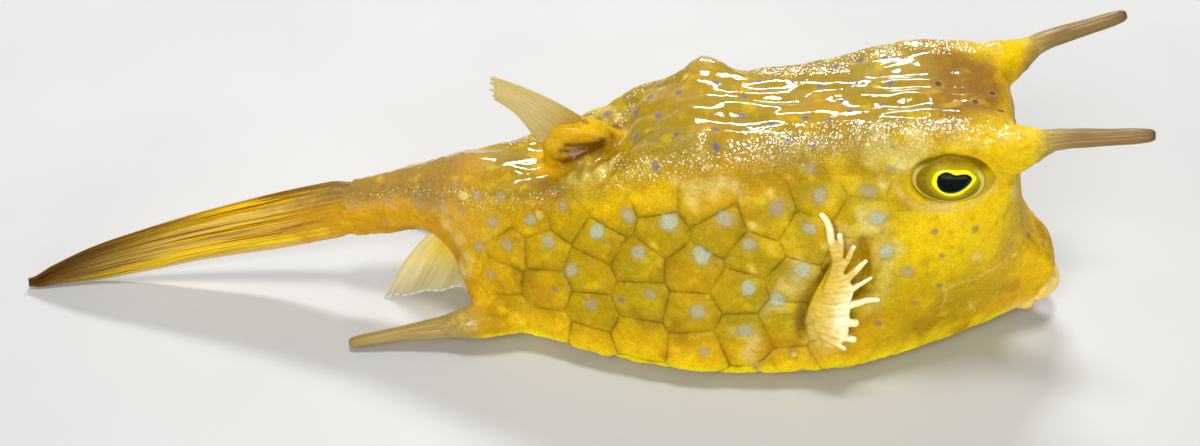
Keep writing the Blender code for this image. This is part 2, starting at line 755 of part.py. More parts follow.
def pectoral_base(side, steps=8):
    """Fleshy pad on the flank, just behind the root line of the side fin."""
    path, radii = [], []
    top, foot = PECTORAL_BASE_SPAN
    for n in range(steps + 1):
        u = top + (foot - top) * n / steps
        x, z = polyline(PECTORAL_ROOT, u)
        next_x, next_z = polyline(PECTORAL_ROOT, u + 0.02)
        back = Vector((next_z - z, 0, x - next_x)).normalized()
        radius = PECTORAL_BASE_RADIUS * (0.45 + 0.55 * math.sin(math.pi * n / steps))
        offset = (radius + GAP) * back
        path.append(on_flank(x + offset.x, z + offset.z, side, PECTORAL_BASE_HEIGHT))
        radii.append(radius)
    return bent_tube("pectoral_base", path, radii, 10)


def make_pectoral_fin(side, name):
    rays = len(PECTORAL_TIPS)

    def place(u, v):
        root, tip = polyline(PECTORAL_ROOT, u), polyline(PECTORAL_TIPS, u)
        x, z = root[0] + (tip[0] - root[0]) * v, root[1] + (tip[1] - root[1]) * v
        return x, step_at_height(x, z)

    def normal(u, v):
        n = skin_normal(*place(u, v))
        return Vector((n.x, n.y * side, n.z))

    def mid(u, v):
        x, t = place(u, v)
        stand = PECTORAL_STAND[0] + (PECTORAL_STAND[1] - PECTORAL_STAND[0]) * v
        point = skin(x, t)
        return Vector((point.x, point.y * side, point.z)) + stand * normal(u, v)

    def reach(u, on_ray):
        return 1.0 if on_ray else PECTORAL_WEB

    fin = ribbed_fin("pectoral_fin_" + name, mid, normal, PECTORAL_LEAF, rays, FIN_STEPS, reach)
    return finish(fin, FIN_CREAM, 0.45, 20)


def make_lip(name, sizes):
    """Crescent on the muzzle face, thickest in the middle, its back flattened onto that face."""
    half_width, height, radius, reach = sizes
    out = muzzle_axis()
    up = Vector((0, 1, 0)).cross(out) * -1
    centre = Vector(MUZZLE_CENTRE)
    rings = []
    for n in range(LIP_STEPS + 1):
        angle = math.pi * (0.03 + 0.94 * n / LIP_STEPS)
        fat = LIP_CORNER_RADIUS + (radius - LIP_CORNER_RADIUS) * math.sin(angle)
        spoke = Vector((0, math.cos(angle), 0)) + up * (math.copysign(1, height) * math.sin(angle))
        middle = centre + Vector((0, half_width * math.cos(angle), 0)) + up * (height * math.sin(angle))
        ring = []
        stand = reach * fat / radius
        for k in range(LIP_SIDES):
            turn = 2 * math.pi * k / LIP_SIDES
            point = middle + fat * math.cos(turn) * spoke + stand * math.sin(turn) * out
            depth = (point - centre).dot(out)
            ring.append(point + out * max(0.0, GAP - depth))
        rings.append(ring)
    return finish(loft(name, rings), LIP_PINK, 0.3)


def main():
    for obj in list(bpy.data.objects):
        bpy.data.objects.remove(obj)
    carapace = make_carapace()
    fleshy = [tube_between("spine_root", SPINE_ROOT, side) for side in SIDES]
    fleshy += [pectoral_base(side) for side in SIDES]
    fleshy.append(fleshy_lobe("dorsal_lobe", DORSAL_BASE, DORSAL_ROOT, DORSAL_LOBE_HALF_THICKNESS))
    join_all(carapace, fleshy, "UNION")
    join_all(carapace, [gill_slit(side) for side in SIDES], "DIFFERENCE")
    finish(carapace, YELLOW, 0.35, 25)
    make_head()
    make_peduncle()
    make_tail_fin()
    make_dorsal_fin()
    make_anal_fin()
    for side, name in SIDES.items():
        make_eye(side, name)
        make_pectoral_fin(side, name)
        finish(tube_between("horn_" + name, HORN_SHAFT, side, GAP), HORN_TAN, 0.3)
        finish(tube_between("ventral_spine_" + name, SPINE_SHAFT, side, GAP), HORN_TAN, 0.3)
    make_lip("upper_lip", UPPER_LIP)
    make_lip("lower_lip", LOWER_LIP)
    place_on_origin()


def place_on_origin():
    """Parents every node to an empty that puts the middle of the fish's length over the origin."""
    root = bpy.data.objects.new("cowfish_root", None)
    collection("longhorn_cowfish").objects.link(root)
    root.location = (-ORIGIN_X * MM, 0, 0)
    for obj in collection("longhorn_cowfish").objects:
        if obj != root:
            obj.parent = root


main()
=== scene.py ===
"""Looks of a life-size longhorn cowfish: one skin of plates and spots, with eyes, horns, spines and fins.

Lengths are millimetres in the fish's own frame until a mesh is made. X runs towards the snout, Y towards
the fish's left side and Z up from the floor. Places marked as pixels belong to a 1200 by 446 picture.
"""

import math
import random

import bmesh
import bpy
import numpy as np
from mathutils import Matrix, Vector


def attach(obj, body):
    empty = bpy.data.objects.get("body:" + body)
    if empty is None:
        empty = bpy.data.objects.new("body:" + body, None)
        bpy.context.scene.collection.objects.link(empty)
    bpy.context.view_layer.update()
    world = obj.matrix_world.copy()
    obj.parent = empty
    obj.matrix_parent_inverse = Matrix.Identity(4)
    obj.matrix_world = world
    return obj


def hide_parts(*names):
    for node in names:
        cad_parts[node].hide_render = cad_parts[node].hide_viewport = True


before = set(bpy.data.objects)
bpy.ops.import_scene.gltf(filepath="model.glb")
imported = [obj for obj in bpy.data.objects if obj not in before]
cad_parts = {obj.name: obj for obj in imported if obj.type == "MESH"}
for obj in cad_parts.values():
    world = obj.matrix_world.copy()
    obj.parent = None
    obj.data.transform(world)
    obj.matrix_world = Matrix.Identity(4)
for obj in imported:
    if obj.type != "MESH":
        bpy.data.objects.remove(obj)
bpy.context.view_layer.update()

MM = 0.001
SEED = 7
SIDES = {1: "left", -1: "right"}

# Reach of the whole fish along X; the frame's origin is under the middle of it
TAIL_TIP_X = -91.6
HORN_TIP_X = 54.1
ORIGIN_X = (TAIL_TIP_X + HORN_TIP_X) / 2

# The camera: where it stands in metres, its axes, and its lens for a picture of this size
PICTURE = (1200, 446)
SENSOR = 36.0
LENS = 54.52
CAMERA_PLACE = (0.02135, -0.1813, 0.1743)
CAMERA_RIGHT = (0.99726, 0.07343, -0.00956)
CAMERA_UP = (-0.04181, 0.66493, 0.74574)
CAMERA_BACK = (0.06111, -0.74330, 0.66617)

# Lamps: name, place, aim, width, height and watts, in metres; then the world and the floor
LAMPS = (
    ("back_lamp", (-0.03, 0.46, 0.44), (0.0, 0.0, 0.02), 0.24, 0.05, 2.6),
    ("overhead", (0.03, 0.02, 0.8), (0.0, 0.0, 0.0), 0.16, 0.12, 3.0),
    ("front_fill", (-0.2, -0.62, 0.62), (0.0, 0.0, 0.0), 0.34, 0.26, 3.0),
    ("low_fill", (0.1, -0.6, 0.1), (0.0, 0.0, 0.02), 0.6, 0.12, 1.5),
)
WORLD_COLOUR = (0.97, 0.98, 1.0, 1)
WORLD_STRENGTH = 0.24
FLOOR_TONE = (0.56, 0.56, 0.55)

# The section is counted in half plate rows, from the middle of the belly up to the middle of the back
BELLY_STEPS = 5
FLANK_STEPS = 12
BACK_STEPS = 3
HALF_RING = BELLY_STEPS + FLANK_STEPS + BACK_STEPS
RIDGE_STEP = BELLY_STEPS + FLANK_STEPS

# Profiles of the body along X
KEEL_HALF_WIDTH = (
    (-51, 1.05), (-47, 1.5), (-41, 2.2), (-36, 3.1), (-32, 4.9), (-28, 11.2),
    (-24, 12.6), (-18, 14.0), (-8, 16.8),
    (2, 18.4), (12, 18.0), (23, 15.8), (28, 13.4), (34, 10.2), (38, 8.0), (41, 6.4), (45, 4.4), (48.6, 2.9),
)
KEEL_HEIGHT = (
    (-51, 8.7), (-47, 9.8), (-41, 11.0), (-36, 12.4), (-32, 9.8), (-28, 4.4), (-22, 3.0), (2, 2.5), (28, 2.7),
    (38, 3.4), (45, 4.6), (48.6, 6.6),
)
RIDGE_HALF_WIDTH = (
    (-51, 1.0), (-47, 1.4), (-41, 2.2), (-36, 3.1), (-32, 4.2), (-28, 5.2), (-19, 7.4), (-9, 8.8), (2, 9.1),
    (20, 9.2), (30, 9.7), (36, 9.5), (38.5, 9.2), (39.8, 8.2), (40.6, 7.0), (41.4, 6.0), (42.2, 5.2),
    (43.2, 4.6), (45, 4.1), (47, 3.8), (48, 3.2), (48.6, 2.6),
)
RIDGE_HEIGHT = (
    (-51, 14.6), (-47, 15.6), (-41, 17.4), (-36, 18.9), (-28, 20.3), (-24, 20.9), (-19, 22.3), (-12.8, 25.6),
    (-9, 28.0), (-6, 29.7), (0, 31.7), (7, 32.3), (13, 33.4), (19, 35.2), (25, 37.3), (30, 38.1),
    (35, 38.0), (37.8, 36.9), (39, 34.6), (39.8, 31.0), (40.6, 27.0), (41.4, 23.2), (42.2, 19.6),
    (43.2, 16.8), (45, 14.2), (47, 12.0), (48, 10.0), (48.6, 7.6),
)
CROWN_HEIGHT = (
    (-51, 15.9), (-47, 17.5), (-41, 19.2), (-36, 20.7), (-28, 22.2), (-19, 22.4),
    (-14, 23.6), (-10.6, 25.2),
    (-7, 29.0), (-3, 31.7), (0, 32.7), (7, 33.2), (13, 33.9), (19, 35.2), (25, 36.6), (30, 37.1),
    (35, 37.0), (37.8, 36.4), (39.2, 34.9), (40, 31.6), (40.8, 28.0), (41.7, 23.9), (42.5, 19.6),
    (43.4, 17.2), (45, 15.0), (47, 12.9), (48, 11.0), (48.6, 8.5),
)
BELLY_HEIGHT = (
    (-51, 7.1), (-47, 7.7), (-41, 8.8), (-36, 10.3), (-32, 8.5), (-28, 4.0), (-24, 1.2),
    (-20, 0.3), (36, 0.3), (40, 0.8), (43.3, 1.6), (46.2, 3.2), (48.6, 5.6),
)
FLANK_BULGE = (
    (-51, 0.1), (-47, 0.4), (-36, 0.9), (-28, 0.5), (-10, 1.0), (10, 1.0), (24, 1.3), (32, 2.0), (38, 1.4),
    (42, 0.7), (48, 0.5),
)
CORNER_ROUNDING = (
    (-47, 3.2), (-36, 2.6), (-30, 1.3), (-24, 0.8), (30, 0.8), (38, 1.0), (42, 1.8), (48, 2.6),
)
CORNER_WEIGHTS = (1, 2, 3, 2, 1)
KNOB_X = 0.8
KNOB_LENGTH = 2.4
KNOB_STEPS = 1.3
KNOB_HEIGHT = 2.0
KNOB_SPLAY = 0.4

# Plates: each column's rear edge, how rows climb, and the height of a plate over its grooves
SCUTE_EDGES = (-32.0, -27.0, -21.2, -15.5, -9.5, -3.0, 4.0, 10.7, 17.3, 24.0)
SCUTE_PITCH = 6.2
ROW_LIFT = ((-24, 0.0), (-12, 0.1), (8, 1.5), (24, 1.2))
PLATE_RISE = 0.16
PLATE_EDGE = 0.5
GROOVE_CUT = 0.12
GROOVE_WIDTH = 0.3
PLATE_GAP = 4.3
PLATE_TINTS = 6
BACK_PLATES = 0.2

# Cuts and rises round eyes, gills, nostrils and side fins, and where the skin thins to the tail fin
EYE_WELL = 2.6
GILL_CUT = 0.7
FOLD_CUT = 0.4
NOSTRIL_RIM = 0.14
NOSTRIL_CUT = 0.5
RAY_FLUTE = 0.15
SKIN_END_SINK = 0.95
SKIN_END_X = (-44.5, -50.2)

# Middles of the plates that the picture shows, in pixels
PLATE_MIDDLES = (
    (544, 252), (599, 240), (588, 275), (636, 264), (694, 270), (639, 300), (591, 311), (691, 316),
    (741, 293), (755, 256), (661, 232), (720, 231), (612, 212), (566, 214), (529, 217), (507, 248),
    (491, 221), (546, 289), (497, 278), (639, 337), (588, 343), (743, 334), (697, 349), (769, 216),
    (792, 284), (654, 200), (703, 203), (808, 236), (822, 198), (786, 320),
)
PLATE_FADE = ((-30, 0.0), (-25, 0.75), (-20, 1.0), (9, 1.0), (16, 0.75), (22, 0.4), (28, 0.12), (34, 0.0))

# The skin is laid out on stations, joined to its lobes and remeshed to squares of this side
SKIN_VOXEL = 0.25
FIN_VOXEL = 0.11
BODY_STEP = 0.4
BODY_SIDES = 240
BODY_ENDS = (-50.6, 48.4)

# The flank as a sheet of half widths over x and z
SHEET_STEP = 0.25
SHEET_X = np.arange(-34, 46.01, SHEET_STEP)
SHEET_Z = np.arange(2.0, 40.01, SHEET_STEP)

# The muzzle is cut square to the way the mouth points, and the lips sit on that face
MUZZLE_CENTRE = (45.0, 0.0, 4.9)
MUZZLE_DOWN_ANGLE = 31.0
UPPER_LIP = (3.2, 2.35, 2.15, 3.7)
LOWER_LIP = (3.2, -1.95, 1.75, 2.9)
LIP_CORNER_RADIUS = 0.75

# Eyes, the rim of skin round each, and the pupil's outline in pixels
EYE_CENTRE = (31.4, 8.9, 31.0)
EYE_RADII = (5.7, 3.9, 4.1)
EYE_TILT = 10.0
RIM_CENTRE = (30.9, 31.4)
RIM_RADII = (5.05, 3.75)
RIM_THICKNESS = 0.8
RIM_SINK = 0.45
PUPIL_OUTLINE = (
    (936.6, 182.0), (937.6, 177.2), (941.0, 174.0), (946.0, 172.3), (950.5, 173.2), (954.0, 174.9),
    (957.5, 175.3), (962.0, 174.5), (967.0, 174.5), (970.5, 176.4), (972.3, 179.2), (970.0, 183.4),
    (966.0, 187.6), (960.0, 191.4), (954.0, 193.3), (948.0, 193.4), (942.0, 191.4), (938.0, 187.2),
)

RING_OUTLINE = (
    (931.6, 181.4), (934.4, 174.6), (939.3, 171.0), (947.7, 169.8), (956.1, 170.4), (966.7, 170.2),
    (973.0, 174.2), (976.5, 178.6), (973.0, 184.9), (965.3, 191.2), (960.4, 194.7), (951.9, 196.5),
    (943.5, 194.9), (935.8, 189.4), (932.3, 185.0),
)

# Nostrils and gill slit, in x and z
NOSTRILS = ((38.2, 23.8), (40.9, 21.9))
GILL_SLIT = ((21.2, 22.6), (21.9, 20.4), (22.2, 18.2), (22.0, 16.2), (21.5, 14.6))

# Horns and ventral spines: each row is x, y, z and radius
HORN_ROOT = (
    (33.5, 7.6, 33.4, 1.6), (36.6, 8.2, 34.0, 2.8), (38.4, 8.6, 34.3, 3.1), (40.0, 8.9, 35.0, 2.6),
    (41.3, 9.2, 35.75, 2.0), (42.6, 9.55, 36.6, 1.45), (43.8, 9.9, 37.2, 1.22), (45.0, 10.2, 37.55, 1.05),
)
HORN_SHAFT = (
    (41.6, 9.3, 36.0, 1.4), (42.6, 9.55, 36.6, 1.36), (43.8, 9.9, 37.15, 1.24), (45.5, 10.3, 37.7, 1.12),
    (48.2, 10.9, 38.45, 1.02), (51.2, 11.55, 39.3, 0.92), (53.25, 12.0, 39.9, 0.76),
    (53.85, 12.13, 40.08, 0.46),
)
SPINE_ROOT = (
    (-20.0, 11.0, 4.2, 1.4), (-24.5, 11.5, 4.3, 2.3), (-28.0, 11.95, 4.1, 2.35), (-29.8, 12.15, 3.75, 2.0),
    (-31.6, 12.35, 3.4, 1.66), (-33.2, 12.52, 3.1, 1.42),
)
SPINE_SHAFT = (
    (-28.6, 12.0, 4.0, 1.7), (-29.8, 12.15, 3.75, 1.7), (-31.6, 12.35, 3.35, 1.56), (-33.8, 12.6, 3.0, 1.32),
    (-37.2, 13.0, 2.45, 1.05), (-41.0, 13.5, 1.75, 0.86), (-44.2, 13.95, 1.15, 0.72),
    (-44.9, 14.05, 1.02, 0.45),
)

# Fins, as in the frame
TAIL_TOP = (
    (-91.6, 1.5), (-88, 3.4), (-82, 6.3), (-74, 9.1), (-67, 11.4), (-56, 14.7), (-46.8, 17.4), (-42, 18.6),
)
TAIL_FOOT = ((-91.6, 0.15), (-84, 0.15), (-76, 1.2), (-68, 2.9), (-57, 4.9), (-46.8, 7.8), (-42, 8.8))
TAIL_BEND = 5.0
TAIL_FIN_X = -42.5
TAIL_RAYS = 13
DORSAL_BASE = ((-9.6, 23.6), (-19.4, 20.4))
DORSAL_ROOT = ((-14.4, 29.6), (-19.8, 26.0))
DORSAL_TIP = ((-26.0, 35.9), (-25.6, 32.0))
DORSAL_LOBE_HALF_THICKNESS = (2.7, 2.1, 1.1)
DORSAL_CUSHION = (
    (-19.2, 0, 25.2, 0.8), (-17.4, 0, 26.6, 1.4), (-15.2, 0, 27.4, 1.7), (-13.0, 0, 27.2, 1.75),
    (-10.8, 0, 26.4, 1.6), (-8.6, 0, 26.2, 1.0),
)
BLADE_ROOT = ((-14.4, 29.6), (-20.6, 26.2))
DORSAL_LOBE_LINE = ((-12.5, 0, 28.0, 1), (-18.5, 0, 24.5, 1))
DORSAL_JOIN_LINE = ((-10.2, 0, 25.6, 1), (-19.2, 0, 23.4, 1))
ANAL_JOIN_LINE = ((-29.8, 0, 7.0, 1), (-35.6, 0, 11.4, 1))
DORSAL_RAYS = 10
ANAL_BASE = ((-30.4, 8.6), (-35.2, 12.2))
ANAL_ROOT = ((-30.2, 5.4), (-34.8, 9.5))
ANAL_EDGE = ((-31.4, 0.14), (-41.9, 0.14))
ANAL_LEAN = 4.0
ANAL_FLARE = 0.5
ANAL_LOBE_HALF_THICKNESS = (1.5, 1.2, 0.9)
ANAL_RAYS = 11
PECTORAL_BACK = ((832, 260), (824, 276), (814, 294), (807, 312), (806, 328), (814, 345))
PECTORAL_PATH = ((828, 282), (820, 300), (817, 316), (820, 332), (828, 344))
PECTORAL_FOLD = ((829, 268), (818, 284), (807, 300), (800, 318), (802, 336))
PECTORAL_EDGE = ((837, 262), (844, 273), (853, 288), (850, 304), (849, 322), (846, 338), (834, 347))
PECTORAL_RAYS = (
    ((826, 292), (836, 264), (831.5, 242), (829.5, 228), (825.5, 219), (820, 213.5)),
    ((829, 292), (839, 260), (840.5, 246), (839.5, 233)),
    ((831, 296), (841, 271), (848, 259), (852, 250), (855, 245.5)),
    ((832, 300), (848, 278), (855, 271.5), (862.5, 264), (867.5, 260)),
    ((832, 306), (854, 288), (862.5, 283), (872.5, 277)),
    ((828, 312), (850, 305), (858, 303), (869, 300), (880, 300)),
    ((824, 321), (840, 322.5), (858.5, 323)),
    ((822, 329), (840, 336), (856.5, 340)),
    ((820, 335), (834, 343), (846, 349.5)),
)
PECTORAL_RAY_RADII = (
    (0.6, 0.34), (0.5, 0.36), (0.46, 0.28), (0.6, 0.22), (0.46, 0.2), (0.6, 0.3), (0.6, 0.54),
    (0.52, 0.48), (0.36, 0.32),
)

# Markings seen in the picture, in pixels with a radius in millimetres
BRIGHT_SPOTS = (
    (598, 232, 1.25), (669, 223, 1.25), (702, 256, 1.25), (749, 288, 1.15), (802, 271, 1.2),
    (778, 299, 1.1), (877, 220, 1.15), (887, 252, 1.1),
)
MIDDLE_SPOTS = (
    (724, 220, 1.2), (698, 311, 1.15), (745, 331, 1.05), (822, 196, 1.15), (638, 253, 1.05),
    (748, 245, 1.05), (808, 229, 1.0), (531, 220, 0.95), (548, 242, 1.0), (571, 270, 1.0), (628, 215, 0.95),
)
GREY_SPOTS = (
    (778, 208, 1.2), (477, 196, 0.7), (500, 196, 0.75), (493, 222, 0.9), (562, 207, 0.75),
    (508, 245, 0.95), (478, 246, 0.8), (490, 273, 0.7), (591, 305, 0.9), (652, 294, 0.85),
    (870, 191, 1.1), (907, 272, 0.95), (704, 352, 0.8), (1010, 247, 0.8), (889, 169, 0.6), (811, 170, 0.8),
)
SMALL_SPOTS = (
    (556, 290, 0.5), (621, 300, 0.6), (936, 232, 0.5), (976, 228, 0.6), (1028, 235, 0.55),
    (1043, 245, 0.45), (938, 285, 0.5), (942, 255, 0.45), (916, 303, 0.45), (878, 324, 0.6),
)
DARK_DOTS = ((957, 72, 0.6), (939, 84, 0.6), (992, 93, 0.5), (975, 102, 0.5), (1001, 111, 0.45))
BACK_SPOTS = (
    (715, 83, 0.8), (678, 93, 0.6), (650, 97, 0.6), (759, 83, 0.6), (769, 89, 0.6), (794, 84, 0.6),
    (820, 86, 0.6), (636, 114, 0.6), (658, 115, 0.6), (607, 113, 0.7), (744, 96, 0.6), (635, 136, 0.7),
    (676, 134, 0.6), (714, 129, 0.7), (716, 147, 0.7), (742, 116, 0.7), (771, 123, 0.6), (805, 118, 0.6),
    (789, 143, 0.6), (813, 144, 0.6), (853, 83, 0.6), (890, 83, 0.6), (842, 101, 0.6), (850, 111, 0.6),
    (884, 105, 0.6), (830, 120, 0.6), (885, 58, 0.6), (837, 66, 0.6), (860, 60, 0.6), (656, 166, 0.6),
)
STALK_SPOTS = (
    (353, 206, 0.7), (390, 201, 0.7), (419, 205, 0.8), (442, 206, 0.8), (463, 210, 0.7), (455, 185, 0.6),
    (385, 222, 0.6),
)
BROWN_PATCHES = (
    (537, 290, 1.9), (527, 282, 1.3), (500, 308, 1.7), (682, 337, 1.5),
    (1040, 226, 1.0), (806, 322, 1.6), (552, 190, 1.6),
    (853, 290, 1.6), (610, 255, 1.2), (672, 262, 1.0), (905, 205, 1.2), (770, 345, 1.6), (958, 330, 1.6),
    (645, 322, 1.4), (1012, 288, 1.2), (930, 325, 1.8),
)
CREAM_PATCHES = (
    (880, 153, 1.7), (900, 158, 1.7), (918, 150, 1.4), (873, 219, 1.7), (886, 250, 1.5), (948, 207, 0.9),
    (934, 205, 0.8), (1018, 182, 0.9), (1016, 194, 0.9), (695, 190, 1.2), (715, 188, 1.2), (735, 186, 1.2),
    (975, 257, 0.7), (447, 226, 0.9), (457, 241, 0.9), (466, 257, 0.9), (467, 272, 0.9), (462, 288, 0.9),
    (856, 236, 1.6), (796, 276, 1.5), (776, 302, 1.3), (748, 334, 1.2), (752, 352, 1.2),
)
BRIGHT_PATCHES = (
    (620, 192, 2.0), (660, 190, 2.0), (590, 200, 1.6), (780, 240, 2.2), (830, 220, 2.2), (945, 235, 2.2),
    (965, 215, 2.0), (920, 250, 2.2), (960, 148, 2.0), (480, 300, 1.6), (560, 330, 1.8), (985, 190, 1.8),
    (990, 235, 2.0), (840, 180, 2.0), (520, 318, 1.4),
)
# Line along the near ridge where pale sparkle highlights are painted as dots, and where the skin gets more
# grain and a wetter coat
SPARKLE_LINE = (
    (612, 158), (640, 167), (680, 165), (720, 158), (760, 147), (800, 137), (850, 130), (900, 126),
    (950, 126), (995, 129),
)
DORSAL_STREAKS = (
    ((559, 161), (572, 159), (586, 153), (598, 147), (608, 141)),
    ((561, 152), (575, 151), (590, 147), (603, 141), (612, 136)),
    ((566, 145), (580, 146), (594, 143), (606, 138)),
)
DORSAL_TISSUE = ((605, 166, 1.7), (598, 175, 1.6), (587, 168, 1.6), (582, 177, 1.5), (570, 176, 1.4))
CHEEK_CREASES = (
    ((945, 290), (958, 284), (975, 280), (992, 270), (1006, 258)),
    ((941, 307), (946, 296), (944, 284)),
    ((968, 299), (970, 305), (975, 312)),
    ((973, 259), (982, 256), (980, 262)),
)


def srgb(red, green, blue):
    """Linear colour from 8-bit screen values."""
    values = np.array((red, green, blue)) / 255
    return tuple(np.where(values <= 0.04045, values / 12.92, ((values + 0.055) / 1.055) ** 2.4))


PLATE_OLIVE = srgb(176, 148, 0)
BELLY_RIM_GLOW_YELLOW = srgb(255, 230, 0)
LOW_FLANK = srgb(224, 176, 0)
ROW_GOLD = srgb(240, 186, 0)
REAR_GOLD = srgb(200, 156, 0)
FACE_YELLOW = srgb(246, 212, 0)
LOW_CHEEK = srgb(184, 150, 0)
SNOUT_GOLD = srgb(230, 184, 0)
BROW_TAN = srgb(192, 160, 0)
BACK_AMBER = srgb(162, 132, 0)
BACK_BEIGE = srgb(170, 144, 56)
FOREHEAD = srgb(140, 94, 0)
STALK_AMBER = srgb(208, 152, 4)
STALK_TOP = srgb(150, 118, 52)
HORN_YELLOW = srgb(228, 190, 0)
HORN_TAN = srgb(168, 142, 72)
HORN_SHANK = srgb(140, 112, 60)
HORN_TIP = srgb(106, 78, 40)
SPINE_BEIGE = srgb(170, 144, 78)
LIP_PEACH = srgb(255, 216, 108)
LOBE_GOLD = srgb(222, 172, 4)
STREAK_BROWN = srgb(84, 40, 0)
TISSUE_CREAM = srgb(216, 190, 96)
PALE_CREAM = srgb(226, 206, 120)
GILL_BROWN = srgb(128, 92, 4)
FOLD_SHADE_OLIVE = srgb(110, 82, 0)
PAD_STRAW = srgb(238, 208, 104)
GROOVE_OLIVE = srgb(92, 70, 4)
SPOT_BRIGHT = srgb(177, 189, 160)
SPOT_MIDDLE = srgb(172, 174, 144)
SPOT_GREY = srgb(168, 158, 130)
SPOT_DARK = srgb(118, 104, 78)
SPOT_BACK = srgb(98, 92, 146)
SPOT_STALK = srgb(178, 150, 128)
SPOT_RIM = srgb(158, 142, 84)
PATCH_BROWN = srgb(150, 104, 4)
PATCH_BRIGHT = srgb(238, 196, 4)
DOT_BROWN = srgb(62, 42, 18)
FIN_CREAM = srgb(255, 246, 188)
FIN_BEIGE = srgb(216, 196, 132)
TAIL_GOLD = srgb(236, 188, 4)
TAIL_AMBER = srgb(138, 92, 0)
TAIL_TIP = srgb(86, 52, 0)
IRIS_OLIVE = srgb(136, 114, 0)
EYE_TOP_SHADE = srgb(138, 112, 0)
RING_YELLOW = srgb(255, 236, 30)
PUPIL_GREEN_REFLECTION = srgb(0, 10, 8)
CLOUD_ORANGE = srgb(222, 156, 0)
CLOUD_DARK = srgb(160, 126, 0)
CLOUD_BRIGHT = srgb(246, 214, 20)
GROOVE_SHADE = srgb(120, 92, 4)
PIT_BROWN = srgb(120, 88, 10)
# Pale granules, also used for dots of painted sparkle highlight
GRANULE_AND_SPARKLE_WHITE = srgb(255, 252, 236)
EYE_EDGE_PALE = srgb(222, 208, 104)
UPPER_LID_SHADOW = srgb(112, 88, 0)
LID_GOLD = srgb(196, 164, 4)
TAIL_BRIGHT = srgb(246, 206, 4)
TAIL_EDGE_PALE = srgb(222, 196, 124)
TAIL_RIM = srgb(110, 74, 8)
SIDE_FIN_GOLD = srgb(210, 172, 0)
SIDE_FIN_STRAW = srgb(228, 196, 84)
HORN_START = srgb(214, 182, 40)
SPINE_START = srgb(190, 156, 40)
SPINE_END = srgb(150, 124, 62)
BACK_FIN_ROOT = srgb(204, 168, 60)
BACK_FIN_WEB = srgb(224, 204, 138)
ANAL_FIN_ROOT = srgb(255, 226, 20)
ANAL_FIN_WEB = srgb(250, 238, 184)


def place(points):
    """Model frame in metres from the fish frame in millimetres."""
    return (np.asarray(points, float) - (ORIGIN_X, 0, 0)) * MM


def project(points):
    """Picture pixels and depths of points in millimetres."""
    away = place(points) - CAMERA_PLACE
    depth = -away @ np.array(CAMERA_BACK)
    focus = LENS / SENSOR * PICTURE[0]
    u = PICTURE[0] / 2 + focus * (away @ np.array(CAMERA_RIGHT)) / depth
    v = PICTURE[1] / 2 - focus * (away @ np.array(CAMERA_UP)) / depth
    return u, v, depth


def smoothstep(low, high, value):
    s = np.clip((value - low) / (high - low), 0, 1)
    return s * s * (3 - 2 * s)


def knot_slopes(knots):
    """Slope at each knot: the harmonic mean of its two sides, or zero at a peak, a dip or an end."""
    sides = np.diff(knots[:, 1]) / np.diff(knots[:, 0])
    before, after = sides[:-1], sides[1:]
    together = before + after
    safe = np.where(together == 0, 1, together)
    inner = np.where(before * after > 0, 2 * before * after / safe, 0)
    return np.concatenate(([0], inner, [0]))


def profile(knots, x):
    """Values at x on a smooth curve through the knots that never overshoots them."""
    knots = np.asarray(knots, float)
    x = np.clip(x, knots[0, 0], knots[-1, 0])
    i = np.clip(np.searchsorted(knots[:, 0], x, side="right") - 1, 0, len(knots) - 2)
    width = knots[i + 1, 0] - knots[i, 0]
    u = (x - knots[i, 0]) / width
    slopes = knot_slopes(knots)
    start, end = slopes[i] * width, slopes[i + 1] * width
    a, b = knots[i, 1], knots[i + 1, 1]
    return (
        a * (1 + 2 * u) * (1 - u) ** 2
        + start * u * (1 - u) ** 2
        + b * u * u * (3 - 2 * u)
        - end * u * u * (1 - u)
    )


def spline(rows, count):
    """Rows at even parameters on a smooth curve through the given rows."""
    rows = np.array(rows, float)
    padded = np.vstack([2 * rows[0] - rows[1], rows, 2 * rows[-1] - rows[-2]])
    u = np.linspace(0, len(rows) - 1, count)
    i = np.minimum(u.astype(int), len(rows) - 2)
    f = (u - i)[:, None]
    a, b, c, d = (padded[i + n] for n in range(4))
    return 0.5 * (
        2 * b + (c - a) * f + (2 * a - 5 * b + 4 * c - d) * f**2 + (3 * b - a - 3 * c + d) * f**3
    )


def bump_curve(distance, width):
    return np.exp(-((distance / width) ** 2))


def sharp_section(x, t):
    """Corner-sharp section: y and z at station x and half row t, positive to the left."""
    t = (t + HALF_RING) % (2 * HALF_RING) - HALF_RING
    side, t = np.where(t < 0, -1.0, 1.0), np.abs(t)
    keel_y, keel_z = profile(KEEL_HALF_WIDTH, x), profile(KEEL_HEIGHT, x)
    ridge_y, ridge_z = profile(RIDGE_HALF_WIDTH, x), profile(RIDGE_HEIGHT, x)
    belly, crown = profile(BELLY_HEIGHT, x), profile(CROWN_HEIGHT, x)
    s = t / BELLY_STEPS
    belly_y, belly_z = keel_y * s, belly + (keel_z - belly) * s**4
    s = (t - BELLY_STEPS) / FLANK_STEPS
    rise, run = ridge_z - keel_z, ridge_y - keel_y
    swell = profile(FLANK_BULGE, x) * np.sin(np.pi * s) / np.hypot(rise, run)
    flank_y, flank_z = keel_y + run * s + rise * swell, keel_z + rise * s - run * swell
    s = (HALF_RING - t) / BACK_STEPS
    back_y, back_z = ridge_y * s, crown * (1 - s * s) + ridge_z * s * s
    y = np.select([t <= BELLY_STEPS, t <= RIDGE_STEP], [belly_y, flank_y], back_y)
    z = np.select([t <= BELLY_STEPS, t <= RIDGE_STEP], [belly_z, flank_z], back_z)
    knob = KNOB_HEIGHT * bump_curve(x - KNOB_X, KNOB_LENGTH) * bump_curve(t - RIDGE_STEP, KNOB_STEPS)
    return side * (y + KNOB_SPLAY * knob), z + knob


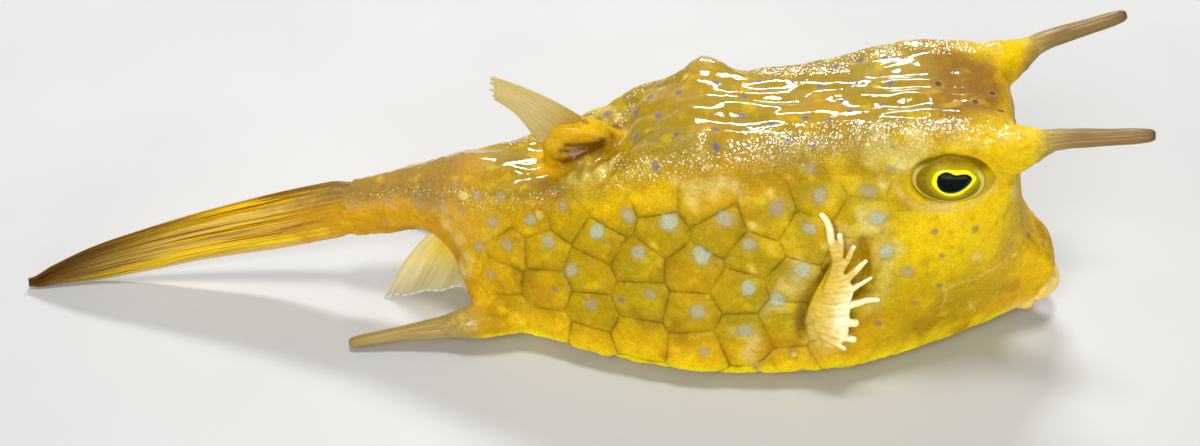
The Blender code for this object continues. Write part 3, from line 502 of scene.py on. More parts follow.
def body_point(x, t):
    """Points on the body, with the corners of the section rounded."""
    x, t = np.broadcast_arrays(np.asarray(x, float), np.asarray(t, float))
    reach = profile(CORNER_ROUNDING, x)
    y, z = np.zeros(x.shape), np.zeros(x.shape)
    for step, weight in enumerate(CORNER_WEIGHTS):
        part_y, part_z = sharp_section(x, t + reach * (step / 2 - 1))
        y, z = y + weight * part_y, z + weight * part_z
    total = sum(CORNER_WEIGHTS)
    return np.stack([x, y / total, z / total], axis=-1)


def flank_sheet():
    """Half width of the flank over a grid of x and z, kept for later calls."""
    if not hasattr(flank_sheet, "widths"):
        steps = np.linspace(BELLY_STEPS, RIDGE_STEP, 121)
        sections = body_point(SHEET_X[:, None], steps[None, :])
        flank_sheet.widths = np.stack([
            np.interp(SHEET_Z, np.maximum.accumulate(section[:, 2]), section[:, 1]) for section in sections
        ])
    return flank_sheet.widths


def sheet_width(x, z):
    widths = flank_sheet()
    column = np.clip((x - SHEET_X[0]) / SHEET_STEP, 0, len(SHEET_X) - 1.001)
    row = np.clip((z - SHEET_Z[0]) / SHEET_STEP, 0, len(SHEET_Z) - 1.001)
    i, j = column.astype(int), row.astype(int)
    u, v = column - i, row - j
    low = widths[i, j] * (1 - u) + widths[i + 1, j] * u
    high = widths[i, j + 1] * (1 - u) + widths[i + 1, j + 1] * u
    return low * (1 - v) + high * v


def on_flank(x, z, side, height=0.0, probe=0.3):
    """Points a given height off the flank of one side, with the flank's normal there."""
    x, z = np.broadcast_arrays(np.asarray(x, float), np.asarray(z, float))
    along = (sheet_width(x + probe, z) - sheet_width(x - probe, z)) / (2 * probe)
    rise = (sheet_width(x, z + probe) - sheet_width(x, z - probe)) / (2 * probe)
    normal = np.stack([-along, np.ones(x.shape), -rise], axis=-1)
    normal /= np.linalg.norm(normal, axis=-1, keepdims=True)
    foot = np.stack([x, sheet_width(x, z), z], axis=-1)
    return (foot + np.asarray(height, float)[..., None] * normal) * (1, side, 1), normal * (1, side, 1)


def ripple(points, wavelength, seed, stretch=(1, 1, 1), waves=28):
    """Smooth noise of about unit size: a sum of waves in many directions."""
    draw = np.random.default_rng(seed)
    directions = draw.normal(size=(waves, 3))
    directions /= np.linalg.norm(directions, axis=1, keepdims=True)
    pitch = 2 * math.pi / (wavelength * draw.uniform(0.7, 1.5, waves))
    phases = draw.uniform(0, 2 * math.pi, waves)
    total = np.zeros(len(points))
    scaled = np.asarray(points) / stretch
    for direction, k, phase in zip(directions, pitch, phases):
        total += np.cos(scaled @ direction * k + phase)
    return total / math.sqrt(waves / 2)


def grid_faces(rows, columns, closed):
    """Quads between neighbouring points of a grid, closed across its columns or not."""
    r, c = np.meshgrid(np.arange(rows - 1), np.arange(columns if closed else columns - 1), indexing="ij")
    a, b = r * columns + c, r * columns + (c + 1) % columns
    return np.stack([a, b, b + columns, a + columns], axis=-1).reshape(-1, 4)


def loft(rings):
    """Closed shell through rings of equal counts: its points and faces."""
    rings = np.asarray(rings, float)
    rows, count = rings.shape[:2]
    faces = grid_faces(rows, count, True).tolist()
    faces += [list(range(count))[::-1], list(range((rows - 1) * count, rows * count))]
    return rings.reshape(-1, 3), faces


def tube(rows, steps, sides=32, flatten=1.0, normal=None, flutes=None):
    """Closed round shell along rows of x, y, z and radius, flattened along a normal if one is given."""
    path = spline(rows, steps)
    centre, radius = path[:, :3], path[:, 3]
    axis = np.gradient(centre, axis=0)
    axis /= np.linalg.norm(axis, axis=1, keepdims=True)
    up = np.tile((0.0, 0.0, 1.0), (steps, 1)) if normal is None else normal
    across = np.cross(axis, up)
    across /= np.linalg.norm(across, axis=1, keepdims=True)
    up = np.cross(across, axis)
    angle = 2 * math.pi * np.arange(sides) / sides
    reach = radius[:, None] * (1 if flutes is None else flutes(np.linspace(0, 1, steps)[:, None], angle))
    rings = (
        centre[:, None]
        + (reach * np.cos(angle))[..., None] * across[:, None]
        + (reach * flatten * np.sin(angle))[..., None] * up[:, None]
    )
    return loft(rings)


def merged(shells):
    """One list of points and one of faces from several shells."""
    points, faces, start = [], [], 0
    for shell_points, shell_faces in shells:
        points.append(shell_points)
        faces += [[i + start for i in face] for face in shell_faces]
        start += len(shell_points)
    return np.vstack(points), faces


def raw_mesh(name, points, faces):
    mesh = bpy.data.meshes.new(name)
    mesh.from_pydata(np.asarray(points).tolist(), [], faces)
    shape = bmesh.new()
    shape.from_mesh(mesh)
    bmesh.ops.recalc_face_normals(shape, faces=shape.faces)
    shape.to_mesh(mesh)
    shape.free()
    return mesh


def positions(mesh):
    values = np.zeros(len(mesh.vertices) * 3)
    mesh.vertices.foreach_get("co", values)
    return values.reshape(-1, 3)


def set_positions(mesh, points):
    mesh.vertices.foreach_set("co", np.ascontiguousarray(points, dtype=np.float32).ravel())
    mesh.update()


def normals(mesh):
    values = np.zeros(len(mesh.vertices) * 3)
    mesh.vertex_normals.foreach_get("vector", values)
    return values.reshape(-1, 3)


def edges(mesh):
    values = np.zeros(len(mesh.edges) * 2, dtype=np.int64)
    mesh.edges.foreach_get("vertices", values)
    return values.reshape(-1, 2)


def fused(name, shells, voxel):
    """One closed mesh round all the shells, made of even squares."""
    obj = bpy.data.objects.new(name, raw_mesh(name, *merged(shells)))
    bpy.context.scene.collection.objects.link(obj)
    remesh = obj.modifiers.new("fuse", "REMESH")
    remesh.mode = "VOXEL"
    remesh.voxel_size = voxel
    graph = bpy.context.evaluated_depsgraph_get()
    graph.update()
    mesh = bpy.data.meshes.new_from_object(obj.evaluated_get(graph))
    rough = obj.data
    bpy.data.objects.remove(obj)
    bpy.data.meshes.remove(rough)
    mesh.name = name
    return mesh


def relaxed(points, links, rounds, weight=1.0, share=0.5):
    """Points drawn towards the mean of their neighbours, more where the weight is higher."""
    count = len(points)
    ends = np.concatenate([links[:, 0], links[:, 1]])
    others = np.concatenate([links[:, 1], links[:, 0]])
    degree = np.maximum(np.bincount(ends, minlength=count), 1)
    pull = np.broadcast_to(np.asarray(weight, float), (count,))
    points = points.copy()
    for _ in range(rounds):
        for axis in range(points.shape[1]):
            mean = np.bincount(ends, weights=points[others, axis], minlength=count) / degree
            points[:, axis] += share * pull * (mean - points[:, axis])
    return points


def evened(points, links, rounds):
    """Smoothing that keeps volume: each round draws in and then pushes back out."""
    for _ in range(rounds):
        points = relaxed(points, links, 1, share=0.5)
        points = relaxed(points, links, 1, share=-0.52)
    return points


def muzzle_axis():
    angle = math.radians(MUZZLE_DOWN_ANGLE)
    return np.array((math.cos(angle), 0, -math.sin(angle)))


def body_shell():
    """The body from the tail's stalk to the muzzle, cut square where the mouth points."""
    stations = np.arange(BODY_ENDS[0], BODY_ENDS[1], BODY_STEP)
    turns = 2 * HALF_RING * np.arange(BODY_SIDES) / BODY_SIDES - HALF_RING
    rings = body_point(stations[:, None], turns[None, :])
    mesh = raw_mesh("body", *loft(rings))
    shape = bmesh.new()
    shape.from_mesh(mesh)
    cut = bmesh.ops.bisect_plane(
        shape,
        geom=shape.verts[:] + shape.edges[:] + shape.faces[:],
        plane_co=MUZZLE_CENTRE,
        plane_no=muzzle_axis(),
        clear_outer=True,
    )
    rim = [e for e in cut["geom_cut"] if isinstance(e, bmesh.types.BMEdge)]
    bmesh.ops.edgeloop_fill(shape, edges=rim)
    points = np.array([vert.co for vert in shape.verts])
    shape.verts.index_update()
    faces = [[vert.index for vert in face.verts] for face in shape.faces]
    shape.free()
    bpy.data.meshes.remove(mesh)
    return points, faces


def mirrored_rows(rows, side):
    return [(row[0], row[1] * side, *row[2:]) for row in rows]


def lip_curve(sizes, steps=40):
    """Middle line of a lip with its radius and reach at each step."""
    half_width, height, radius, reach = sizes
    out = muzzle_axis()
    up = np.cross((0, 1, 0), out) * -1
    angle = math.pi * (0.03 + 0.94 * np.arange(steps + 1) / steps)
    fat = LIP_CORNER_RADIUS + (radius - LIP_CORNER_RADIUS) * np.sin(angle)
    spoke = np.cos(angle)[:, None] * np.array((0, 1, 0))
    spoke = spoke + (np.copysign(1, height) * np.sin(angle))[:, None] * up
    middle = np.array(MUZZLE_CENTRE) + (half_width * np.cos(angle))[:, None] * np.array((0, 1, 0))
    middle = middle + (height * np.sin(angle))[:, None] * up
    return middle, spoke, fat, reach * fat / radius, out


def lip_shell(sizes, sides=28, sink=0.9):
    middle, spoke, fat, stand, out = lip_curve(sizes)
    turn = 2 * math.pi * np.arange(sides) / sides
    rings = (
        middle[:, None]
        + (fat[:, None] * np.cos(turn))[..., None] * spoke[:, None]
        + (stand[:, None] * np.sin(turn))[..., None] * out
    )
    depth = (rings - np.array(MUZZLE_CENTRE)) @ out
    rings = rings + np.maximum(0, -sink - depth)[..., None] * out
    return loft(rings)


def ring_shell(middles, centre, radius, sides=16):
    """Closed tube along a loop of points, its sections standing away from the loop's centre."""
    along = np.roll(middles, -1, axis=0) - np.roll(middles, 1, axis=0)
    along /= np.linalg.norm(along, axis=1, keepdims=True)
    spoke = middles - centre
    spoke /= np.linalg.norm(spoke, axis=1, keepdims=True)
    across = np.cross(along, spoke)
    turn = 2 * math.pi * np.arange(sides) / sides
    rings = (
        middles[:, None]
        + radius * np.cos(turn)[:, None] * spoke[:, None]
        + radius * np.sin(turn)[:, None] * across[:, None]
    )
    points = rings.reshape(-1, 3)
    faces = grid_faces(len(rings) + 1, sides, True) % len(points)
    return points, faces.tolist()


def eye_rim(side, steps=96):
    angle = 2 * math.pi * np.arange(steps) / steps
    x = RIM_CENTRE[0] + RIM_RADII[0] * np.cos(angle)
    z = RIM_CENTRE[1] + RIM_RADII[1] * np.sin(angle)
    middles, _ = on_flank(x, z, side, -RIM_SINK)
    return ring_shell(middles, middles.mean(axis=0), RIM_THICKNESS)


def in_plane(pair, u):
    """Points from the front to the rear end of a line in the middle plane."""
    (x0, z0), (x1, z1) = pair
    u = np.asarray(u, float)
    return np.stack([x0 + (x1 - x0) * u, np.zeros(u.shape), z0 + (z1 - z0) * u], axis=-1)


def fleshy_lobe(base, root, half_thicknesses, count=40, rings=12):
    """Lobe of flesh from the body out to the root of a fin."""
    made = []
    angle = 2 * math.pi * np.arange(count) / count
    for v in np.linspace(0, 1, rings):
        half = np.interp(v, np.linspace(0, 1, len(half_thicknesses)), half_thicknesses)
        front = in_plane(base, 0) * (1 - v) + in_plane(root, 0) * v
        rear = in_plane(base, 1) * (1 - v) + in_plane(root, 1) * v
        oval = front + (rear - front) * (0.5 - 0.5 * np.cos(angle))[:, None]
        made.append(oval + (half * np.sin(angle))[:, None] * np.array((0, 1, 0)))
    return loft(made)


def pectoral_pad(side):
    """Low cushion of flesh under the root of the side fin."""
    x, z = flank_at(PECTORAL_PATH, 0.0)
    path, _ = on_flank(x, z, side, -1.1)
    return tube(np.column_stack([path, (1.4, 2.1, 2.3, 2.1, 1.5)]), 40, 24)


def half_rows(points):
    """Half row of each point, from the angle round the middle of its section."""
    stations = np.arange(BODY_ENDS[0], BODY_ENDS[1] + BODY_STEP, BODY_STEP)
    turns = np.linspace(-HALF_RING, HALF_RING, 481)
    heights = (profile(BELLY_HEIGHT, stations) * 0.55 + profile(CROWN_HEIGHT, stations) * 0.45)
    sections = body_point(stations[:, None], turns[None, :])
    centre = np.interp(points[:, 0], stations, heights)
    angle = np.arctan2(points[:, 1], -(points[:, 2] - centre))
    place_along = np.clip((points[:, 0] - stations[0]) / BODY_STEP, 0, len(stations) - 1.001)
    index = place_along.astype(int)
    found = np.zeros((2, len(points)))
    for i in np.unique(index):
        here = index == i
        for n in (0, 1):
            section = sections[i + n]
            bearing = np.arctan2(section[:, 1], -(section[:, 2] - heights[i + n]))
            bearing[0], bearing[-1] = -math.pi, math.pi
            found[n, here] = np.interp(angle[here], np.maximum.accumulate(bearing), turns)
    share = place_along - index
    return found[0] * (1 - share) + found[1] * share


def plate_seeds(points):
    """Middles of all plates: those seen in the picture on both sides, and even rows everywhere else."""
    seen = np.array([on_skin(points, pixel) for pixel in PLATE_MIDDLES])
    draw = np.random.default_rng(SEED)
    seeds = [*seen, *(seen * (1, -1, 1) + draw.uniform(-0.6, 0.6, seen.shape) * (1, 0, 1))]
    edges_x = np.array((*SCUTE_EDGES, *(SCUTE_EDGES[-1] + SCUTE_PITCH * np.array((1, 2)))))
    for column, x in enumerate((edges_x[1:] + edges_x[:-1]) / 2):
        for t in range(-HALF_RING + column % 2, HALF_RING, 2):
            s = min(max((abs(t) - BELLY_STEPS) / FLANK_STEPS, 0), 1)
            level = t + np.sign(t) * profile(ROW_LIFT, x) * 4 * s * (1 - s)
            seed = body_point(x + draw.uniform(-0.5, 0.5), level + draw.uniform(-0.2, 0.2))
            if min(np.linalg.norm(np.array(seeds) - seed, axis=1)) > PLATE_GAP * (0.8 if abs(t) > 16 else 1):
                seeds.append(seed)
    return np.array(seeds)


def plate_tints(owners, links, count):
    """A tint number for every plate, so that no two plates that touch share one."""
    pairs = owners[links]
    pairs = np.unique(pairs[pairs[:, 0] != pairs[:, 1]], axis=0)
    touching = [set() for _ in range(count)]
    for a, b in pairs:
        touching[a].add(b)
        touching[b].add(a)
    left = {n: set(others) for n, others in enumerate(touching)}
    order = []
    while left:
        least = min(left, key=lambda n: (len(left[n]), n))
        order.append(least)
        for other in left.pop(least):
            left[other].discard(least)
    tints = {}
    for n in reversed(order):
        taken = {tints.get(other) for other in touching[n]}
        tints[n] = min(set(range(PLATE_TINTS + 1)) - taken)
    return np.array([tints[n] for n in range(count)])


def find_plates(points, links):
    """Each point's plate, its distance to the nearest groove, and that distance with a sign for each tint."""
    seeds = plate_seeds(points).astype(np.float32)
    spots = points.astype(np.float32)
    away = np.sqrt(np.maximum(((spots[:, None] - seeds[None]) ** 2).sum(axis=2), 0))
    owners = away.argmin(axis=1)
    tints = plate_tints(owners, links, len(seeds))
    nearest = np.stack([away[:, tints == n].min(axis=1, initial=99) for n in range(PLATE_TINTS)], axis=1)
    order = np.sort(nearest, axis=1)
    first = nearest == order[:, :1]
    signed = (np.where(first, order[:, 1:2], order[:, :1]) - nearest) / 2
    own = np.random.default_rng(SEED).uniform(0, 1, len(seeds))[owners]
    return own, (order[:, 1] - order[:, 0]) / 2, np.clip(signed, -9, 9)


def on_skin(points, pixel):
    """The skin's point seen at a pixel: the nearest to the camera of those that fall on it."""
    u, v, depth = project(points)
    near = np.hypot(u - pixel[0], v - pixel[1])
    reach = max(3.0, near.min() + 0.5)
    candidates = np.flatnonzero(near <= reach)
    front = candidates[depth[candidates] < depth[candidates].min() + 0.0015]
    return points[front[np.argmin(near[front])]]


def line_distance(points, line):
    """Distance of each point from a chain of straight pieces."""
    best = np.full(len(points), np.inf)
    for a, b in zip(line[:-1], line[1:]):
        run = b - a
        s = np.clip((points - a) @ run / max(run @ run, 1e-9), 0, 1)
        best = np.minimum(best, np.linalg.norm(points - (a + s[:, None] * run), axis=1))
    return best


def make_skin():
    shells = [body_shell(), lip_shell(UPPER_LIP), lip_shell(LOWER_LIP)]
    shells.append(fleshy_lobe(DORSAL_BASE, DORSAL_ROOT, DORSAL_LOBE_HALF_THICKNESS))
    shells.append(fleshy_lobe(ANAL_BASE, ANAL_ROOT, ANAL_LOBE_HALF_THICKNESS))
    shells.append(tube(DORSAL_CUSHION, 40, 28))
    for side in SIDES:
        shells.append(tube(mirrored_rows(HORN_ROOT, side), 40))
        shells.append(tube(mirrored_rows(SPINE_ROOT, side), 40))
        shells += [eye_rim(side), pectoral_pad(side)]
    mesh = fused("skin", shells, SKIN_VOXEL)
    links = edges(mesh)
    points = evened(positions(mesh), links, 6)
    points = relaxed(points, links, 24, join_weight(points))
    x = points[:, 0]
    t = half_rows(points)
    own, groove, signed = find_plates(points, links)
    set_positions(mesh, points)
    skin = {"mesh": mesh, "x": x, "t": t, "groove": groove}
    shown = profile(PLATE_FADE, x) * plain_share(points)
    skin["rays"] = smoothstep(-42, -47, x)
    skin["plates"] = shown * (1 - (1 - BACK_PLATES) * smoothstep(14.3, 15.8, np.abs(t)))
    lift = skin_relief(skin, points)
    points = points + lift[:, None] * normals(mesh)
    points[:, 2] = np.maximum(points[:, 2], 0.0)
    set_positions(mesh, points)
    skin["points"] = points
    paint_skin(skin)
    write_points(mesh, "own", own)
    write_points(mesh, "tints_a", signed[:, :3])
    write_points(mesh, "tints_b", signed[:, 3:])
    set_positions(mesh, place(points))
    obj = bpy.data.objects.new("skin", mesh)
    bpy.context.scene.collection.objects.link(obj)
    mesh.shade_smooth()
    mesh.materials.clear()
    mesh.materials.append(skin_material())
    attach(obj, "root")
    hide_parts("head", "carapace", "tail_peduncle", "upper_lip", "lower_lip")
    return obj


def tube_weight(points, rows, reach):
    """One near a row of points on both sides of the fish, falling to nothing a reach away."""
    line = spline([row[:3] for row in rows], 24)
    return 1 - smoothstep(0.6 * reach, reach, line_distance(folded(points), line))


def join_weight(points):
    """Where the skin is smoothed most: round the roots of horns, spines and fins."""
    weight = np.maximum(tube_weight(points, HORN_ROOT[:6], 6.0), tube_weight(points, SPINE_ROOT[:5], 5.5))
    lobe = tube_weight(points, DORSAL_JOIN_LINE, 5.0)
    anal = tube_weight(points, ANAL_JOIN_LINE, 3.5)
    return np.maximum(weight, np.maximum(0.5 * lobe, 0.7 * anal))


def plain_share(points):
    """One on the plated shell, nothing on the lobes, pads and roots that grow from it."""
    bare = tube_weight(points, HORN_ROOT, 5.0)
    bare = np.maximum(bare, tube_weight(points, SPINE_ROOT, 4.6))
    bare = np.maximum(bare, tube_weight(points, DORSAL_LOBE_LINE, 5.5))
    bare = np.maximum(bare, patch_weight(points, DORSAL_TISSUE))
    return 1 - bare


def patch_weight(points, spots, spread=1.35):
    """One inside patches given as pixels with radii, on both sides of the fish, with soft edges."""
    weight = np.zeros(len(points))
    for u, v, radius in spots:
        away = seen_distance(points, (u, v))
        weight = np.maximum(weight, smoothstep(spread * radius, 0.6 * radius, away))
    return weight


def eye_ring(points):
    """Radius from the middle of the eye, in shares of its outline, on either side."""
    near = np.abs(points[:, 1]) > 6
    share = np.hypot((points[:, 0] - RIM_CENTRE[0]) / 4.8, (points[:, 2] - RIM_CENTRE[1]) / 3.4)
    return np.where(near, share, 9.0)


def folded(points):
    """Points with both sides of the fish laid on its left side."""
    return np.column_stack([points[:, 0], np.abs(points[:, 1]), points[:, 2]])


def seen_distance(points, pixel):
    """Distance from the skin's point seen at a pixel, on both sides of the fish."""
    x, y, z = on_skin(points, pixel)
    return np.linalg.norm(folded(points) - (x, abs(y), z), axis=1)


def gill_distance(points):
    line = spline(GILL_SLIT, 20)
    across = np.column_stack([line[:, 0], np.zeros(len(line)), line[:, 1]])
    flat = np.column_stack([points[:, 0], np.zeros(len(points)), points[:, 2]])
    distance = line_distance(flat, across)
    return np.where(np.abs(points[:, 1]) > 8, distance, 9.0)


def skin_relief(skin, points):
    """Height of every modelled detail over the smooth body."""
    x, t = skin["x"], np.abs(skin["t"])
    distance, plates = skin["groove"], skin["plates"]
    lift = plates * PLATE_RISE * (1 - np.exp(-np.maximum(distance, 0) / PLATE_EDGE))
    lift -= plates * GROOVE_CUT * bump_curve(distance, GROOVE_WIDTH)
    back = smoothstep(16.2, 17.4, t) * smoothstep(-32, -24, x) * smoothstep(40, 36, x)
    skin["back"] = back
    slanted = points + np.outer(points[:, 1], (0.5, 0, 0))
    lift += back * 0.15 * ripple(slanted, 4.0, 3, stretch=(4.2, 1, 1))
    lift += back * 0.09 * ripple(slanted, 2.4, 8, stretch=(4.0, 1, 1))
    shell = smoothstep(-33, -28, x) * smoothstep(44, 38, x)
    lift += 0.06 * shell * ripple(points, 4.0, 5)
    lift += 0.03 * (1 - 0.7 * back) * ripple(points, 1.4, 6)
    eye = eye_ring(points)
    lift -= EYE_WELL * smoothstep(0.93, 0.75, eye)
    gill = gill_distance(points)
    skin["gill"] = gill
    lift -= GILL_CUT * bump_curve(gill, 0.4)
    skin["fold"] = traced_lines(points, [PECTORAL_FOLD], 0.7)
    lift -= FOLD_CUT * skin["fold"]
    for place_x, place_z in NOSTRILS:
        spot, _ = on_flank(place_x, place_z, 1)
        away = np.linalg.norm(folded(points) - spot, axis=1)
        lift += NOSTRIL_RIM * bump_curve(away - 0.55, 0.28) - NOSTRIL_CUT * bump_curve(away, 0.32)
    low, high = profile(TAIL_FOOT, x), profile(TAIL_TOP, x)
    share = np.clip((points[:, 2] - low) / (high - low), 0, 1)
    flutes = RAY_FLUTE * (ray_wave(share, 0 * share, TAIL_RAYS) - 0.4)
    ragged_end = smoothstep(*SKIN_END_X, x + 0.8 * ripple(points, 2.2, 51))
    lift += skin["rays"] * (flutes - SKIN_END_SINK * ragged_end)
    lobe = tube_weight(points, DORSAL_LOBE_LINE, 4.5)
    tissue = patch_weight(points, DORSAL_TISSUE)
    skin["flutes"] = np.sin(x * 3.6 + 0.5 * ripple(points, 4.0, 41))
    lift += tissue * (0.25 + 0.12 * skin["flutes"])
    skin["lobe"] = lobe
    return lift


def paint(tone, colour, weight):
    tone += (np.array(colour) - tone) * np.clip(weight, 0, 1)[:, None]


def paint_regions(skin, cloud):
    """Colours of the skin by region, from belly to back and from snout to tail."""
    points, x, t = skin["points"], skin["x"], np.abs(skin["t"])
    z = points[:, 2]
    tone = np.tile(np.array(PLATE_OLIVE), (len(x), 1))
    paint(tone, LOW_FLANK, smoothstep(8.5, 6.2, t) * 0.9)
    paint(tone, REAR_GOLD, smoothstep(-10, -24, x) * 0.9)
    paint(tone, FACE_YELLOW, bump_curve(x - 33, 9.5) * bump_curve(t - 12.5, 5.0))
    paint(tone, SNOUT_GOLD, smoothstep(36, 43, x) * 0.9)
    paint(tone, LOW_CHEEK, bump_curve(x - 33, 9.0) * bump_curve(t - 7.4, 2.3) * 0.9)
    # Belly rim: its own bright yellow, pushed brighter as a painted glow of light shining through the thin
    # rim
    paint(tone, BELLY_RIM_GLOW_YELLOW, smoothstep(6.3, 5.0, t) * smoothstep(-34, -26, x) * 0.9)
    back = smoothstep(16.6, 17.5, t + 0.12 * cloud)
    paint(tone, BACK_AMBER, back)
    paint(tone, BACK_BEIGE, back * smoothstep(0.2, 1.2, ripple(points, 6.5, 12, stretch=(2, 1, 1))) * 0.9)
    paint(tone, BACK_BEIGE, bump_curve(t - 17.2, 0.8) * smoothstep(-8, 0, x) * smoothstep(36, 26, x) * 0.45)
    paint(tone, FOREHEAD, back * smoothstep(26, 32, x) * 0.95)
    front = smoothstep(16.2, 17.6, t + 0.15 * cloud) * smoothstep(36.5, 41.0, x + 0.6 * cloud)
    paint(tone, SNOUT_GOLD, front * 0.9)
    paint(tone, STALK_AMBER, front * smoothstep(26, 14, z) * smoothstep(-0.6, 1.2, cloud) * 0.6)
    paint(tone, ROW_GOLD, bump_curve(t - 15.2, 1.3) * smoothstep(-18, -8, x) * smoothstep(14, 4, x) * 0.6)
    paint(tone, PATCH_BROWN, bump_curve(t - 15.8, 0.9) * smoothstep(-12, -6, x) * smoothstep(34, 28, x) * 0.3)
    paint(tone, BROW_TAN, bump_curve(t - 16.3, 0.9) * bump_curve(x - 28, 6.5) * 0.75)
    paint(tone, FACE_YELLOW, bump_curve(t - 16.6, 1.2) * bump_curve(x - 37, 3.5) * 0.6)
    stalk = smoothstep(-27, -32, x)
    paint(tone, STALK_AMBER, stalk)
    paint(tone, STALK_TOP, stalk * smoothstep(13.5, 17.0, t + 0.4 * cloud) * 0.85)
    paint(tone, STALK_TOP, stalk * bump_curve(x + 38, 7) * smoothstep(0.3, 1.2, cloud) * 0.4)
    return tone


def paint_skin(skin):
    """Lays patches, parts and spots over the regions, and stores what the material reads."""
    points, x, t = skin["points"], skin["x"], np.abs(skin["t"])
    z = points[:, 2]
    cloud = ripple(points, 9.0, 11)
    tone = paint_regions(skin, cloud)
    patches = (
        (BROWN_PATCHES, PATCH_BROWN, 0.62),
        (BRIGHT_PATCHES, PATCH_BRIGHT, 0.6),
        (CREAM_PATCHES, PALE_CREAM, 0.6),
    )
    uneven = 1 + 0.3 * ripple(points, 3.0, 31)
    for spots, colour, strength in patches:
        for u, v, radius in spots:
            away = seen_distance(points, (u, v)) * uneven
            paint(tone, colour, strength * smoothstep(1.9 * radius, 0, away))
    horn = tube_weight(points, HORN_ROOT, 5.2)
    paint(tone, HORN_YELLOW, horn * 0.8)
    paint(tone, HORN_TAN, smoothstep(40.4, 42.6, x + 0.3 * cloud) * smoothstep(31.5, 33.5, z) * 0.95)
    spine = tube_weight(points, SPINE_ROOT, 3.4)
    paint(tone, SPINE_BEIGE, spine * smoothstep(-26.0, -29.5, x))
    paint(tone, LOBE_GOLD, skin["lobe"] * 0.9)
    streak = traced_lines(points, DORSAL_STREAKS, 0.45)
    band = traced_lines(points, DORSAL_STREAKS[:1], 1.4)
    tissue = patch_weight(points, DORSAL_TISSUE)
    paint(tone, TISSUE_CREAM, tissue * (0.62 + 0.3 * skin["flutes"]))
    paint(tone, PATCH_BROWN, band * 0.85)
    paint(tone, STREAK_BROWN, streak * 0.9)
    gill = skin["gill"]
    paint(tone, PALE_CREAM, bump_curve(gill - 2.4, 1.2) * smoothstep(21.5, 23, x) * 0.35)
    paint(tone, GILL_BROWN, bump_curve(gill, 1.1) * 0.6)
    pad = traced_lines(points, [PECTORAL_PATH], 2.2) * (1 - skin["fold"])
    paint(tone, PAD_STRAW, pad * (0.78 + 0.16 * np.sin(z * 7 + x * 2)))
    # Painted shade: a dark olive arc in the crease along the side fin's pad
    paint(tone, FOLD_SHADE_OLIVE, skin["fold"] * 0.8)
    eye = eye_ring(points)
    paint(tone, PALE_CREAM, bump_curve(eye - 1.3, 0.12) * smoothstep(31.5, 28.5, z) * 0.55)
    # Painted shadow: a dark olive line along the top edge of the eye, under the upper lid
    paint(tone, EYE_TOP_SHADE, smoothstep(1.08, 0.97, eye) * smoothstep(31.5, 33.5, z) * 0.8)
    paint(tone, IRIS_OLIVE, smoothstep(1.0, 0.9, eye) * smoothstep(33, 30, z) * 0.6)
    lips = np.minimum(*(lip_distance(points, sizes) for sizes in (UPPER_LIP, LOWER_LIP)))
    ahead = (points - np.array(MUZZLE_CENTRE)) @ muzzle_axis()
    skin["lip"] = smoothstep(0.5, -0.1, lips) * smoothstep(0.1, 0.7, ahead)
    paint(tone, LIP_PEACH, skin["lip"])
    jaw = smoothstep(2.6, 0.9, lip_distance(points, LOWER_LIP)) * smoothstep(6.5, 4.5, z)
    paint(tone, LIP_PEACH, jaw * 0.75)
    wet = 0.08 + 0.92 * smoothstep(15.7, 17.1, t) * smoothstep(39.5, 36, x)
    wet = np.maximum(wet, 0.8 * smoothstep(-22, -28, x) * smoothstep(11, 14, t))
    wet = np.maximum(wet * (1 - 0.7 * skin["lobe"]) * (1 - 0.6 * tissue), 0.6 * skin["lip"])
    wet = np.maximum(wet, 0.5 * spine * smoothstep(-26, -29, x))
    grain = 0.25 + 0.75 * smoothstep(14.8, 16.2, t)
    grain -= smoothstep(17.2, 18.0, t + 0.3 * cloud) * smoothstep(41, 37, x)
    sparks = traced_lines(points, [SPARKLE_LINE], 2.0)
    grain = np.maximum(grain, 0.9 * sparks)
    grain *= (1 - skin["lip"]) * (1 - 0.6 * horn) * smoothstep(-50, -40, x)
    write_points(skin["mesh"], "wet", np.maximum(wet, 0.6 * sparks))
    write_points(skin["mesh"], "sparks", sparks)
    write_points(skin["mesh"], "tone", tone)
    write_points(skin["mesh"], "grain", grain)
    write_points(skin["mesh"], "plates", skin["plates"] * (1 - skin["lip"]))
    write_spots(skin)


def lip_distance(points, sizes):
    """How far each point is outside a lip, roughly."""
    middle, _, fat, _, out = lip_curve(sizes, 24)
    best = np.full(len(points), np.inf)
    for centre, radius in zip(middle, fat):
        away = points - centre
        flat = away - (away @ out)[:, None] * out
        best = np.minimum(best, np.linalg.norm(flat, axis=1) - radius)
    return best


def write_points(mesh, name, values):
    """Stores a number or colour on each point of the mesh, for its material."""
    values = np.asarray(values)
    if values.ndim == 1:
        layer = mesh.attributes.new(name, "FLOAT", "POINT")
        layer.data.foreach_set("value", values.astype(np.float32))
        return
    if values.shape[1] == 3:
        values = np.column_stack([values, np.ones(len(values))])
    layer = mesh.attributes.new(name, "FLOAT_COLOR", "POINT")
    layer.data.foreach_set("color", values.astype(np.float32).ravel())


